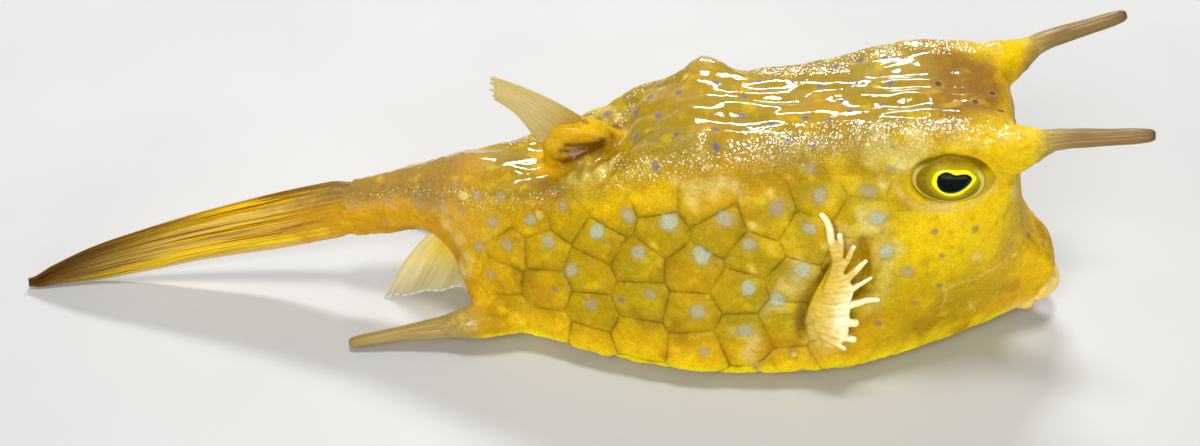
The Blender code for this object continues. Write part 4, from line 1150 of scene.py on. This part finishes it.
def write_spots(skin):
    """Puts every spot where the picture shows it, and the flank's spots on the far side too."""
    points = skin["points"]
    colour = np.zeros((len(points), 3))
    cover = np.zeros(len(points))
    wobble = 1 + 0.12 * ripple(points, 1.6, 21)
    draw = random.Random(SEED)
    groups = (
        (BRIGHT_SPOTS, SPOT_BRIGHT, 0.92, True), (MIDDLE_SPOTS, SPOT_MIDDLE, 0.86, True),
        (GREY_SPOTS, SPOT_GREY, 0.78, True),
        (SMALL_SPOTS, SPOT_DARK, 0.75, True), (DARK_DOTS, DOT_BROWN, 0.9, False),
        (BACK_SPOTS, SPOT_BACK, 0.8, False), (STALK_SPOTS, SPOT_STALK, 0.6, True),
    )
    for spots, tint, strength, both in groups:
        for u, v, radius in spots:
            middle = on_skin(points, (u, v))
            places = [middle]
            if both:
                shift = np.array((draw.uniform(-1.2, 1.2), 0, draw.uniform(-1.0, 1.0)))
                places.append(middle * (1, -1, 1) + shift)
            for spot in places:
                away = np.linalg.norm(points - spot, axis=1) * wobble
                mark = strength * smoothstep(1.4 * radius, 0.5 * radius, away)
                better = mark > cover
                colour[better] = tint
                cover = np.maximum(cover, mark)
    write_points(skin["mesh"], "spot", np.column_stack([colour, cover]))
    write_points(skin["mesh"], "crease", traced_lines(points, CHEEK_CREASES, 0.2))


def traced_lines(points, lines, width):
    """One along lines seen at pixels, on both sides of the fish, falling off over a width."""
    near, best = folded(points), np.full(len(points), np.inf)
    for line in lines:
        traced = folded(spline([on_skin(points, pixel) for pixel in line], 16))
        best = np.minimum(best, line_distance(near, traced))
    return bump_curve(best, width)


class Graph:
    """A material's nodes, added by short calls that take sockets, numbers or tuples."""

    def __init__(self, name):
        self.material = bpy.data.materials.new(name)
        self.material.use_nodes = True
        self.tree = self.material.node_tree
        self.shader = self.tree.nodes["Principled BSDF"]
        coordinates = self.tree.nodes.new("ShaderNodeTexCoord").outputs["Object"]
        self.place = self.vector("SCALE", coordinates, scale=1 / MM)

    def put(self, value, socket):
        if isinstance(value, bpy.types.NodeSocket):
            self.tree.links.new(value, socket)
        elif value is not None:
            if hasattr(socket.default_value, "__len__"):
                size = len(socket.default_value)
                value = (*value, 1.0)[:size] if len(value) < size else value[:size]
            socket.default_value = value

    def vector(self, operation, a, b=None, scale=None):
        node = self.tree.nodes.new("ShaderNodeVectorMath")
        node.operation = operation
        self.put(a, node.inputs[0])
        self.put(b, node.inputs[1])
        if scale is not None:
            node.inputs["Scale"].default_value = scale
        return node.outputs["Vector"]

    def math(self, operation, a, b):
        node = self.tree.nodes.new("ShaderNodeMath")
        node.operation = operation
        for value, socket in zip((a, b), node.inputs):
            self.put(value, socket)
        return node.outputs[0]

    def times(self, a, b):
        return self.math("MULTIPLY", a, b)

    def plus(self, a, b):
        return self.math("ADD", a, b)

    def uneven(self, scale, detail, size):
        """Noise about zero, up to half a size either way."""
        return self.times(self.math("SUBTRACT", self.noise(scale, detail), 0.5), size)

    def parts(self, vector):
        node = self.tree.nodes.new("ShaderNodeSeparateXYZ")
        self.put(vector, node.inputs[0])
        return node.outputs

    def join(self, x, y, z=0.0):
        node = self.tree.nodes.new("ShaderNodeCombineXYZ")
        for value, socket in zip((x, y, z), node.inputs):
            self.put(value, socket)
        return node.outputs[0]

    def attribute(self, name, output="Fac"):
        node = self.tree.nodes.new("ShaderNodeAttribute")
        node.attribute_name = name
        return node.outputs[output]

    def noise(self, scale, detail=2.0, roughness=0.5, vector=None):
        node = self.tree.nodes.new("ShaderNodeTexNoise")
        self.put(vector or self.place, node.inputs["Vector"])
        node.inputs["Scale"].default_value = scale
        node.inputs["Detail"].default_value = detail
        node.inputs["Roughness"].default_value = roughness
        return node.outputs["Fac"]

    def cells(self, scale):
        node = self.tree.nodes.new("ShaderNodeTexVoronoi")
        self.put(self.place, node.inputs["Vector"])
        node.inputs["Scale"].default_value = scale
        return node.outputs["Distance"]

    def span(self, value, low, high, to_low=0.0, to_high=1.0):
        node = self.tree.nodes.new("ShaderNodeMapRange")
        node.interpolation_type = "SMOOTHSTEP"
        for item, socket in zip((value, low, high, to_low, to_high), node.inputs):
            self.put(item, socket)
        return node.outputs[0]

    def mix(self, share, a, b, blend="MIX"):
        node = self.tree.nodes.new("ShaderNodeMix")
        node.data_type = "RGBA"
        node.blend_type = blend
        self.put(share, node.inputs[0])
        self.put(a, node.inputs[6])
        self.put(b, node.inputs[7])
        return node.outputs[2]

    def scaled(self, colour, factor):
        """Colour times a number."""
        node = self.tree.nodes.new("ShaderNodeVectorMath")
        node.operation = "SCALE"
        self.put(colour, node.inputs[0])
        self.put(factor, node.inputs["Scale"])
        return node.outputs[0]

    def bump(self, height, distance):
        node = self.tree.nodes.new("ShaderNodeBump")
        node.inputs["Strength"].default_value = 1.0
        node.inputs["Distance"].default_value = distance * MM
        self.put(height, node.inputs["Height"])
        return node.outputs[0]

    def set(self, **values):
        """Sets the shader's own inputs by their names, with underscores for blanks."""
        for name, value in values.items():
            self.put(value, self.shader.inputs[name.replace("_", " ")])
        return self.material


def groove_nodes(graph):
    """Distance to the nearest groove, sharp between the mesh's points, from the signed distances."""
    nearest = None
    for name in ("tints_a", "tints_b"):
        for part in graph.parts(graph.vector("ABSOLUTE", graph.attribute(name, "Vector"))):
            nearest = part if nearest is None else graph.math("MINIMUM", nearest, part)
    return nearest


def skin_material():
    graph = Graph("cowfish_skin")
    plates = graph.attribute("plates")
    grain = graph.attribute("grain")
    own = graph.attribute("own")
    ragged = graph.plus(groove_nodes(graph), graph.uneven(1.6, 3, 0.35))
    line = graph.times(graph.span(ragged, 0.2, 0.02), plates)
    soft = graph.times(graph.span(ragged, 1.3, 0.0), plates)
    broken = graph.span(graph.noise(0.3, 3), 0.35, 0.65, 0.25, 1.0)
    mottle = graph.noise(1.3, 4, 0.65)
    broad = graph.noise(0.16, 3)
    fine = graph.noise(5.0, 2, 0.7)
    granules = graph.cells(3.4)
    beads = graph.span(graph.cells(1.8), 0.05, 0.75, 1.0, 0.0)
    tone = graph.attribute("tone", "Color")
    tone = graph.scaled(tone, graph.span(mottle, 0.25, 0.75, 0.87, 1.1))
    tone = graph.scaled(tone, graph.span(fine, 0.3, 0.7, 0.9, 1.08))
    tone = graph.scaled(tone, graph.span(granules, 0.2, 0.85, 1.03, 0.92))
    tone = graph.scaled(tone, graph.span(own, 0.0, 1.0, 0.95, 1.05))
    tone = graph.mix(graph.span(broad, 0.45, 0.75, 0.0, 0.3), tone, CLOUD_ORANGE)
    cloudy = graph.noise(0.42, 5, 0.6)
    tone = graph.mix(graph.span(cloudy, 0.5, 0.72, 0.0, 0.45), tone, CLOUD_DARK)
    tone = graph.mix(graph.span(cloudy, 0.48, 0.3, 0.0, 0.3), tone, CLOUD_BRIGHT)
    tone = graph.mix(graph.times(graph.times(soft, broken), 0.3), tone, GROOVE_SHADE)
    tone = graph.mix(graph.times(graph.times(line, broken), 0.62), tone, GROOVE_OLIVE)
    pits = graph.times(graph.span(granules, 0.35, 0.7), graph.times(grain, 0.22))
    tone = graph.mix(pits, tone, PIT_BROWN)
    crease = graph.times(graph.attribute("crease"), graph.span(mottle, 0.4, 0.6, 0.15, 0.6))
    tone = graph.mix(crease, tone, PALE_CREAM)
    # Painted sparkle: pale granule dots along the sparkle line, partly the granules' own paleness and partly
    # painted highlights
    there = graph.plus(graph.times(graph.attribute("sparks"), 0.5), graph.noise(1.5, 2))
    sparkle_specks = graph.times(graph.span(graph.cells(2.1), 0.34, 0.2), graph.span(there, 0.74, 0.9))
    tone = graph.mix(graph.times(sparkle_specks, 0.85), tone, GRANULE_AND_SPARKLE_WHITE)
    spot = graph.tree.nodes.new("ShaderNodeAttribute")
    spot.attribute_name = "spot"
    dotted = graph.span(graph.cells(5.5), 0.2, 0.75, 1.1, 0.82)
    cover = graph.times(spot.outputs["Alpha"], graph.span(fine, 0.25, 0.75, 0.8, 1.05))
    tint = graph.mix(graph.span(cover, 0.3, 0.9), SPOT_RIM, spot.outputs["Color"])
    tone = graph.mix(cover, tone, graph.scaled(tint, dotted))
    height = graph.times(graph.span(granules, 0.0, 0.8, 1.0, 0.0), grain)
    height = graph.plus(height, graph.times(mottle, 0.8))
    height = graph.math("SUBTRACT", height, line)
    normal = graph.bump(height, 0.06)
    wavy = graph.plus(graph.times(mottle, 0.15), graph.times(beads, grain))
    shine = graph.bump(wavy, 0.12)
    return graph.set(
        Base_Color=tone,
        Roughness=graph.span(mottle, 0.2, 0.8, 0.5, 0.65),
        IOR=1.36,
        Specular_IOR_Level=0.12,
        Subsurface_Weight=0.12,
        Subsurface_Radius=(1.0, 0.6, 0.15),
        Subsurface_Scale=0.0008,
        Coat_Weight=graph.attribute("wet"),
        Coat_Roughness=0.05,
        Coat_IOR=1.6,
        Normal=normal,
        Coat_Normal=shine,
    )


def finished(name, shell, material, nodes, layers=None):
    """A piece from a shell in millimetres, riding on the frame in place of the named nodes."""
    mesh = raw_mesh(name, shell[0], shell[1])
    return adopt(name, mesh, material, nodes, layers)


def adopt(name, mesh, material, nodes, layers=None):
    for layer, values in (layers or {}).items():
        write_points(mesh, layer, values)
    set_positions(mesh, place(positions(mesh)))
    obj = bpy.data.objects.new(name, mesh)
    bpy.context.scene.collection.objects.link(obj)
    mesh.shade_smooth()
    mesh.materials.clear()
    mesh.materials.append(material)
    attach(obj, "root")
    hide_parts(*nodes)
    return obj


def eye_frame(side):
    """Middle of an eye and the axes that it is flattened and tilted along."""
    tilt = math.radians(EYE_TILT) * side
    forward = np.array((1.0, 0, 0))
    outward = np.array((0, math.cos(tilt), math.sin(tilt))) * side
    upward = np.array((0, -math.sin(tilt), math.cos(tilt)))
    return np.array((EYE_CENTRE[0], EYE_CENTRE[1] * side, EYE_CENTRE[2])), forward, outward, upward


def pixel_on_eye(pixel):
    """Place on the right eye, forward and up of its middle, that the camera sees at a pixel."""
    focus = LENS / SENSOR * PICTURE[0]
    ray = np.array(CAMERA_RIGHT) * (pixel[0] - PICTURE[0] / 2) / focus
    ray = ray - np.array(CAMERA_UP) * (pixel[1] - PICTURE[1] / 2) / focus - np.array(CAMERA_BACK)
    centre, forward, outward, upward = eye_frame(-1)
    start = np.array(CAMERA_PLACE) / MM + (ORIGIN_X, 0, 0) - centre
    radii = np.array(EYE_RADII)
    axes = np.array((forward, outward, upward))
    origin, run = axes @ start / radii, axes @ ray / radii
    b, c = 2 * origin @ run, origin @ origin - 1
    a = run @ run
    reach = (-b - math.sqrt(max(b * b - 4 * a * c, 0))) / (2 * a)
    hit = (origin + reach * run) * radii
    return hit[0], hit[2]


def traced_on_eye(pixels):
    """Smooth closed outline on the eye through places seen at pixels."""
    return spline(np.array([pixel_on_eye(pixel) for pixel in (*pixels, pixels[0])]), 90)[:-1]


def inside_distance(places, outline):
    """Distance outside a closed outline, negative inside it."""
    loop = np.vstack([outline, outline[:1]])
    flat = np.column_stack([places, np.zeros(len(places))])
    distance = line_distance(flat, np.column_stack([loop, np.zeros(len(loop))]))
    inside = np.zeros(len(places), bool)
    for (x0, y0), (x1, y1) in zip(loop[:-1], loop[1:]):
        crosses = (y0 > places[:, 1]) != (y1 > places[:, 1])
        height = y1 - y0 if y1 != y0 else 1e-9
        inside ^= crosses & (places[:, 0] < (x1 - x0) * (places[:, 1] - y0) / height + x0)
    return np.where(inside, -distance, distance)


def make_eye(side, name, material, pupil, ring, rows=110, columns=150):
    """Eyeball whose pupil is a shallow well in the iris, under one glossy surface."""
    centre, forward, outward, upward = eye_frame(side)
    tilt = np.linspace(0.0, 0.5 * math.pi * 1.25, rows)[:, None] + 1e-4
    turn = 2 * math.pi * np.arange(columns)[None, :] / columns
    wide, out = np.sin(tilt), np.cos(tilt) * np.ones_like(turn)
    local = np.stack([wide * np.cos(turn), out, wide * np.sin(turn)], -1) * EYE_RADII
    flat = local.reshape(-1, 3)[:, [0, 2]]
    edge = inside_distance(flat, pupil)
    dent = 0.12 * smoothstep(0.06, -0.25, edge) - 0.05 * bump_curve(edge - 0.2, 0.18)
    depth = 1 - (dent / np.linalg.norm(local.reshape(-1, 3), axis=1))
    local = (local.reshape(-1, 3) * depth[:, None]).reshape(local.shape)
    axes = np.array((forward, outward, upward))
    shell = loft(local @ axes + centre)
    outline_x, outline_z = shell[0][:, 0] - RIM_CENTRE[0], shell[0][:, 2] - RIM_CENTRE[1]
    border = np.hypot(outline_x / 4.75, outline_z / 3.4)
    layers = {"pupil": edge, "ring": inside_distance(flat, ring), "border": border, "height": flat[:, 1]}
    return finished("eyeball_" + name, shell, material, ["eye_" + name], layers)


def eye_material():
    graph = Graph("cowfish_eye")
    edge, ring, border, height = (graph.attribute(name) for name in ("pupil", "ring", "border", "height"))
    mottle = graph.noise(2.5, 4, 0.7)
    # The iris shifts to the painted shade tone towards its top, under the lid
    iris = graph.mix(graph.span(height, 0.4, 2.6), IRIS_OLIVE, EYE_TOP_SHADE)
    iris = graph.scaled(iris, graph.span(mottle, 0.25, 0.75, 0.72, 1.15))
    iris = graph.mix(graph.times(graph.span(ring, 1.0, 0.0), 0.25), iris, RING_YELLOW)
    low = graph.span(height, 2.2, 0.8)
    edged = graph.plus(border, graph.uneven(1.3, 3, 0.05))
    pale = graph.times(graph.span(edged, 0.79, 0.84), graph.span(edged, 0.94, 0.89))
    iris = graph.mix(graph.times(pale, graph.times(low, 0.85)), iris, EYE_EDGE_PALE)
    # The eyeball's outer border takes the lid's colour: painted shadow at the top, fading to gold skin at the
    # bottom
    lid_border_shade = graph.mix(low, UPPER_LID_SHADOW, LID_GOLD)
    iris = graph.mix(graph.span(edged, 0.91, 0.98), iris, lid_border_shade)
    iris = graph.mix(graph.span(ring, 0.04, -0.06), iris, RING_YELLOW)
    # Pupil: near black with a faint painted greenish reflection
    colour = graph.mix(graph.span(edge, 0.03, -0.03), iris, PUPIL_GREEN_REFLECTION)
    return graph.set(
        Base_Color=colour,
        Roughness=graph.span(edge, 0.03, -0.03, 0.4, 0.05),
        IOR=1.36,
        Specular_IOR_Level=0.1,
        Coat_Weight=0.12,
        Coat_Roughness=0.03,
        Coat_IOR=1.34,
        Normal=graph.bump(mottle, 0.02),
    )


def horn_flutes(v, angle):
    """Fine lengthwise ridges that fade into the root."""
    wave = np.sin(11 * angle + 1.2 * np.sin(5 * v)) + 0.6 * np.sin(17 * angle - 2.0 * v)
    return 1 + 0.03 * wave * smoothstep(0.1, 0.35, v) - 0.02 * np.sin(23 * v) * smoothstep(0.2, 0.4, v)


def make_horn(prefix, rows, side, node, material, steps=150, sides=96):
    shell = tube(mirrored_rows(rows, side), steps, sides, flutes=horn_flutes)
    along = np.repeat(np.linspace(0, 1, steps), sides)
    angle = np.tile(2 * math.pi * np.arange(sides) / sides, steps)
    layers = {"along": along, "turn": np.cos(angle) * 2, "turn_b": np.sin(angle) * 2}
    return finished(prefix, shell, material, [node], layers)


def horn_material(name, start, root, middle, tip):
    graph = Graph(name)
    along = graph.attribute("along")
    stretched = graph.join(graph.attribute("turn"), graph.attribute("turn_b"), graph.times(along, 0.9))
    striae = graph.noise(4.5, 4, 0.75, vector=stretched)
    colour = graph.mix(graph.span(graph.plus(along, graph.times(striae, 0.1)), 0.06, 0.26), start, root)
    colour = graph.mix(graph.span(along, 0.15, 0.5), colour, middle)
    colour = graph.mix(graph.span(along, 0.7, 1.0), colour, tip)
    colour = graph.scaled(colour, graph.span(striae, 0.35, 0.65, 0.7, 1.18))
    return graph.set(
        Base_Color=colour,
        Roughness=graph.span(striae, 0.3, 0.7, 0.45, 0.6),
        IOR=1.36,
        Specular_IOR_Level=0.35,
        Subsurface_Weight=0.2,
        Subsurface_Radius=(1.0, 0.7, 0.35),
        Subsurface_Scale=0.0008,
        Coat_Weight=0.2,
        Coat_Roughness=0.12,
        Normal=graph.bump(striae, 0.04),
    )


def leaf(mid, half, normal, across, along):
    """Closed thin shell: its middle, half thickness and normal are functions of u across and v along."""
    u, v = np.meshgrid(np.linspace(0, 1, across), np.linspace(0, 1, along), indexing="ij")
    centre, thick, facing = mid(u, v), half(u, v)[..., None], normal(u, v)
    points = np.vstack([(centre + thick * facing).reshape(-1, 3), (centre - thick * facing).reshape(-1, 3)])
    front = grid_faces(across, along, False)
    count = across * along
    back = front[:, ::-1] + count
    rim = [i * along for i in range(across)] + [(across - 1) * along + j for j in range(1, along)]
    rim += [i * along + along - 1 for i in range(across - 2, -1, -1)] + list(range(along - 2, 0, -1))
    edge = [[a, b, b + count, a + count] for a, b in zip(rim, rim[1:] + rim[:1])]
    layers = {"across": np.tile(u.ravel(), 2), "along": np.tile(v.ravel(), 2)}
    return (points, front.tolist() + back.tolist() + edge), layers


def ray_wave(u, v, rays, wobble=0.0):
    """Ridge of each ray: 1 on the ray, 0 half way to the next."""
    return 0.5 + 0.5 * np.cos(2 * math.pi * (u * (rays - 1) + wobble * np.sin(5 * v + 9 * u)))


def make_tail_fin(material):
    length = TAIL_FIN_X - TAIL_TIP_X

    def mid(u, v):
        short = 1.4 * (0.5 + 0.5 * np.sin(23 * u)) * smoothstep(0.8, 1, v)
        x = TAIL_FIN_X - length * v + short
        inset = 1.2 * smoothstep(0.12, 0.02, v)
        top, foot = profile(TAIL_TOP, x) - inset, profile(TAIL_FOOT, x) + inset
        z = foot + (top - foot) * u
        sway = 0.4 * np.sin(2.2 * math.pi * u + 3 * v) * smoothstep(0.05, 0.3, v) * (1 - 0.6 * v)
        return np.stack([x, -TAIL_BEND * v * v + sway, z], -1)

    def half(u, v):
        body = 0.34 + 0.95 * (1 - v) ** 1.7 - 0.8 * smoothstep(0.13, 0.0, v)
        edge = np.clip(1 - (2 * u - 1) ** 2, 0, 1) ** 0.45
        ray = ray_wave(u, v, TAIL_RAYS, 0.18)
        return body * (0.12 + 0.88 * edge) + 0.16 * (ray - 0.4) * (1 - 0.5 * v)

    def normal(u, v):
        slope = 2 * TAIL_BEND * v / length
        facing = np.stack([-slope, np.ones_like(v), np.zeros_like(v)], -1)
        return facing / np.linalg.norm(facing, axis=-1, keepdims=True)

    shell, layers = leaf(mid, half, normal, 170, 190)
    return finished("tail_fin", shell, material, ["caudal_fin"], layers)


def tail_material():
    graph = Graph("cowfish_tail_fin")
    across, along = graph.attribute("across"), graph.attribute("along")
    lines = graph.join(graph.times(across, 30.0), graph.times(along, 3.0))
    streaks = graph.noise(1.0, 5, 0.65, vector=lines)
    broad = graph.noise(0.35, 2, 0.5, vector=lines)
    colour = graph.mix(graph.span(streaks, 0.42, 0.58), TAIL_AMBER, TAIL_GOLD)
    colour = graph.mix(graph.times(graph.span(broad, 0.48, 0.6), 0.4), colour, FIN_BEIGE)
    low_stripe = graph.times(graph.span(across, 0.1, 0.2), graph.span(across, 0.38, 0.26))
    colour = graph.mix(graph.times(low_stripe, graph.span(streaks, 0.35, 0.6, 0.3, 0.9)), colour, TAIL_BRIGHT)
    colour = graph.mix(graph.times(graph.span(across, 0.14, 0.02), 0.75), colour, TAIL_EDGE_PALE)
    root = graph.plus(along, graph.uneven(0.4, 4, 0.4))
    flesh = graph.mix(graph.span(across, 0.55, 0.95), STALK_AMBER, STALK_TOP)
    flesh = graph.scaled(flesh, graph.span(graph.noise(1.3, 4, 0.65), 0.25, 0.75, 0.82, 1.06))
    colour = graph.mix(graph.span(root, 0.3, 0.08), colour, flesh)
    dusk = graph.plus(along, graph.times(across, 0.25))
    colour = graph.mix(graph.span(dusk, 0.58, 1.12), colour, TAIL_TIP)
    rim = graph.math("MAXIMUM", graph.span(across, 0.97, 1.0), graph.span(across, 0.03, 0.0))
    colour = graph.mix(graph.times(rim, 0.6), colour, TAIL_RIM)
    return graph.set(
        Base_Color=colour,
        Roughness=0.45,
        IOR=1.36,
        Specular_IOR_Level=0.18,
        Subsurface_Weight=0.15,
        Subsurface_Radius=(1.0, 0.6, 0.15),
        Subsurface_Scale=0.0008,
        Coat_Weight=0.15,
        Coat_Roughness=0.1,
        Normal=graph.bump(streaks, 0.06),
    )


def sideways(u, v):
    return np.broadcast_to(np.array((0.0, 1.0, 0.0)), (*u.shape, 3))


def fin_half(root, tip, rays, ridge):
    def half(u, v):
        body = tip + (root - tip) * (1 - v) ** 1.8
        edge = np.clip(1 - (2 * u - 1) ** 2, 0, 1) ** 0.3
        return body * (0.35 + 0.65 * edge) + ridge * (ray_wave(u, v, rays) - 0.3) * smoothstep(0, 0.15, v)
    return half


def make_dorsal_fin(material):
    def mid(u, v):
        root = in_plane(BLADE_ROOT, u)
        tip = in_plane(DORSAL_TIP, u)
        ragged = (0.03 * np.sin(31 * u) + 0.02 * np.sin(53 * u)) * smoothstep(0.7, 1, v)
        v = (v * (1 - 0.02) - ragged - 0.1 * (1 - v))[..., None]
        bow = np.array((0.3, 0.0, 0.55)) * np.sin(math.pi * np.clip(v, 0, 1))
        wave = 0.25 * np.sin(7 * u)[..., None] * np.array((0, 1, 0)) * v
        return root + (tip - root) * v + bow + wave

    shell, layers = leaf(mid, fin_half(0.7, 0.1, DORSAL_RAYS, 0.06), sideways, 110, 80)
    return finished("back_fin", shell, material, ["dorsal_fin"], layers)


def make_anal_fin(material):
    def mid(u, v):
        root = in_plane(ANAL_ROOT, u)
        edge = in_plane(ANAL_EDGE, u)
        shape = 1 - 0.03 * (1 - ray_wave(u, v, ANAL_RAYS)) * smoothstep(0.6, 1, v)
        v = (v * shape - 0.12 * (1 - v))
        point = root + (edge - root) * v[..., None]
        point[..., 0] += ANAL_FLARE * np.sin(math.pi * np.clip(v, 0, 1)) * (1 - 2 * u)
        point[..., 1] -= ANAL_LEAN * v * v * (0.3 + 0.7 * u) - 0.22 * np.sin(16 * u) * v
        return point

    shell, layers = leaf(mid, fin_half(0.7, 0.06, ANAL_RAYS, 0.05), sideways, 130, 80)
    return finished("anal_fan", shell, material, ["anal_fin"], layers)


def fin_material(name, root, web, ray_count, golden=(0.75, 0.0), reach=0.5):
    graph = Graph(name)
    across, along = graph.attribute("across"), graph.attribute("along")
    lines = graph.join(graph.times(across, ray_count * 3.0), graph.times(along, 2.0))
    streaks = graph.noise(1.0, 4, 0.6, vector=lines)
    front = graph.span(across, *golden, 0.3, 1.0)
    rooted = graph.times(graph.span(along, reach, 0.08), front)
    colour = graph.mix(rooted, web, root)
    colour = graph.scaled(colour, graph.span(streaks, 0.3, 0.7, 0.86, 1.08))
    return graph.set(
        Base_Color=colour,
        Roughness=0.45,
        IOR=1.2,
        Transmission_Weight=0.4,
        Subsurface_Weight=0.2,
        Subsurface_Radius=(1.0, 0.9, 0.6),
        Subsurface_Scale=0.001,
        Coat_Weight=0.12,
        Coat_Roughness=0.12,
        Normal=graph.bump(streaks, 0.04),
    )


def flank_at(pixels, stand, rounds=7, probe=0.05):
    """Places x and z on the flank over which the camera sees points standing off it."""
    pixels = np.asarray(pixels, float)
    x, z = np.full(len(pixels), 18.0), np.full(len(pixels), 15.0)
    for _ in range(rounds):
        u, v, _ = project(on_flank(x, z, -1, stand)[0])
        u_x, v_x, _ = project(on_flank(x + probe, z, -1, stand)[0])
        u_z, v_z, _ = project(on_flank(x, z + probe, -1, stand)[0])
        a, b, c, d = (u_x - u) / probe, (u_z - u) / probe, (v_x - v) / probe, (v_z - v) / probe
        off_u, off_v = pixels[:, 0] - u, pixels[:, 1] - v
        area = a * d - b * c
        x = np.clip(x + (d * off_u - b * off_v) / area, 8, 32)
        z = np.clip(z + (a * off_v - c * off_u) / area, 3.5, 33)
    return x, z


def make_pectoral_fin(side, name, material):
    """Comb of fleshy rays on a fan-shaped base, lying forward against the flank."""
    shells = [pectoral_fan(side)]
    for n, (line, (root, tip)) in enumerate(zip(PECTORAL_RAYS, PECTORAL_RAY_RADII)):
        v = np.linspace(0, 1, 18)
        stand = 1.1 + 0.75 * np.sin(0.5 * math.pi * v) + 0.2 * np.sin(5 * v + 2 * n) * v
        x, z = flank_at(spline(line, 18), stand)
        path, normal = on_flank(x, z, side, stand)
        radius = tip + (root - tip) * (1 - v**1.2)
        radius[-1] *= 0.6
        shells.append(tube(np.column_stack([path, radius]), 60, 18, 0.8, normal=spline(normal, 60)))
    mesh = fused("side_fin_" + name, shells, FIN_VOXEL)
    links = edges(mesh)
    points = relaxed(evened(positions(mesh), links, 3), links, 1)
    set_positions(mesh, points)
    back = spline(on_flank(*flank_at(PECTORAL_BACK, 0.8), side, 0.8)[0], 20)
    layers = {"along": np.clip(line_distance(points, back) / 7, 0, 1)}
    return adopt("side_fin_" + name, mesh, material, ["pectoral_fin_" + name], layers)


def pectoral_fan(side, across=130, along=46):
    """Striated pillow from which the rays come, thickest in its middle."""
    back, edge = spline(PECTORAL_BACK, across), spline(PECTORAL_EDGE, across)
    u, v = np.meshgrid(np.linspace(0, 1, across), np.linspace(0, 1, along), indexing="ij")
    pixels = back[:, None] + (edge - back)[:, None] * v[..., None]
    stand = 1.1 * v ** 0.8 + 0.4 - 0.6 * smoothstep(0.7, 1, u) * (1 - v)
    x, z = flank_at(pixels.reshape(-1, 2), stand.ravel())
    path, facing = (part.reshape(across, along, 3) for part in on_flank(x, z, side, stand.ravel()))
    rounded = np.sin(math.pi * np.clip(0.06 + 0.88 * u, 0, 1)) ** 0.6
    thick = (0.12 + 0.58 * np.sin(math.pi * (0.06 + 0.82 * v))) * (0.3 + 0.7 * rounded)
    thick += 0.05 * np.cos(2 * math.pi * u * 17 + 2.5 * v) * smoothstep(0.25, 0.7, v)
    return leaf(lambda a, b: path, lambda a, b: thick, lambda a, b: facing, across, along)[0]


def pectoral_material():
    graph = Graph("cowfish_side_fin")
    along = graph.attribute("along")
    striae = graph.noise(1.0, 4, 0.6, vector=graph.vector("MULTIPLY", graph.place, (0.5, 1.0, 3.0)))
    cloudy = graph.plus(along, graph.uneven(0.8, 3, 0.35))
    colour = graph.mix(graph.span(cloudy, 0.02, 0.3), SIDE_FIN_GOLD, SIDE_FIN_STRAW)
    colour = graph.mix(graph.span(cloudy, 0.34, 0.62), colour, FIN_CREAM)
    colour = graph.scaled(colour, graph.span(striae, 0.3, 0.7, 0.8, 1.12))
    return graph.set(
        Base_Color=colour,
        Roughness=0.42,
        IOR=1.38,
        Subsurface_Weight=0.3,
        Subsurface_Radius=(1.0, 0.9, 0.5),
        Subsurface_Scale=0.0012,
        Coat_Weight=0.4,
        Coat_Roughness=0.12,
        Normal=graph.bump(striae, 0.05),
    )


def make_floor():
    bpy.ops.mesh.primitive_plane_add(size=3.0)
    floor = bpy.context.object
    floor.name = "floor"
    graph = Graph("pale_floor")
    cloud = graph.noise(0.02, 3)
    colour = graph.scaled(FLOOR_TONE, graph.span(cloud, 0.3, 0.7, 0.97, 1.03))
    floor.data.materials.append(graph.set(Base_Color=colour, Roughness=0.6, IOR=1.4))


def softbox(name, spot, aim, width, height, power):
    light = bpy.data.lights.new(name, "AREA")
    light.shape = "RECTANGLE"
    light.size, light.size_y = width, height
    light.energy = power
    lamp = bpy.data.objects.new(name, light)
    lamp.location = spot
    lamp.rotation_euler = (Vector(spot) - Vector(aim)).to_track_quat("Z", "Y").to_euler()
    bpy.context.scene.collection.objects.link(lamp)


def make_light():
    world = bpy.data.worlds.new("studio")
    world.use_nodes = True
    world.node_tree.nodes["Background"].inputs["Color"].default_value = WORLD_COLOUR
    world.node_tree.nodes["Background"].inputs["Strength"].default_value = WORLD_STRENGTH
    bpy.context.scene.world = world
    for lamp in LAMPS:
        softbox(*lamp)
    bpy.context.scene.view_settings.view_transform = "Standard"


def make_camera():
    camera = bpy.data.cameras.new("camera")
    camera.sensor_width = SENSOR
    camera.lens = LENS
    camera.clip_start = 0.01
    holder = bpy.data.objects.new("camera", camera)
    axes = Matrix((CAMERA_RIGHT, CAMERA_UP, CAMERA_BACK)).transposed()
    holder.matrix_world = Matrix.Translation(CAMERA_PLACE) @ axes.to_quaternion().to_matrix().to_4x4()
    bpy.context.scene.collection.objects.link(holder)
    bpy.context.scene.camera = holder


def main():
    make_camera()
    make_light()
    make_floor()
    make_skin()
    pupil, ring = traced_on_eye(PUPIL_OUTLINE), traced_on_eye(RING_OUTLINE)
    eye = eye_material()
    horn = horn_material("cowfish_horn", HORN_START, HORN_TAN, HORN_SHANK, HORN_TIP)
    spine = horn_material("cowfish_spine", SPINE_START, SPINE_BEIGE, SPINE_BEIGE, SPINE_END)
    side_fin = pectoral_material()
    for side, name in SIDES.items():
        make_eye(side, name, eye, pupil, ring)
        make_horn("horn_shaft_" + name, HORN_SHAFT, side, "horn_" + name, horn)
        make_horn("rear_spine_" + name, SPINE_SHAFT, side, "ventral_spine_" + name, spine)
        make_pectoral_fin(side, name, side_fin)
    make_tail_fin(tail_material())
    make_dorsal_fin(fin_material("cowfish_back_fin", BACK_FIN_ROOT, BACK_FIN_WEB, DORSAL_RAYS))
    make_anal_fin(fin_material("cowfish_anal_fin", ANAL_FIN_ROOT, ANAL_FIN_WEB, ANAL_RAYS, (1.0, 0.6), 0.9))


main()
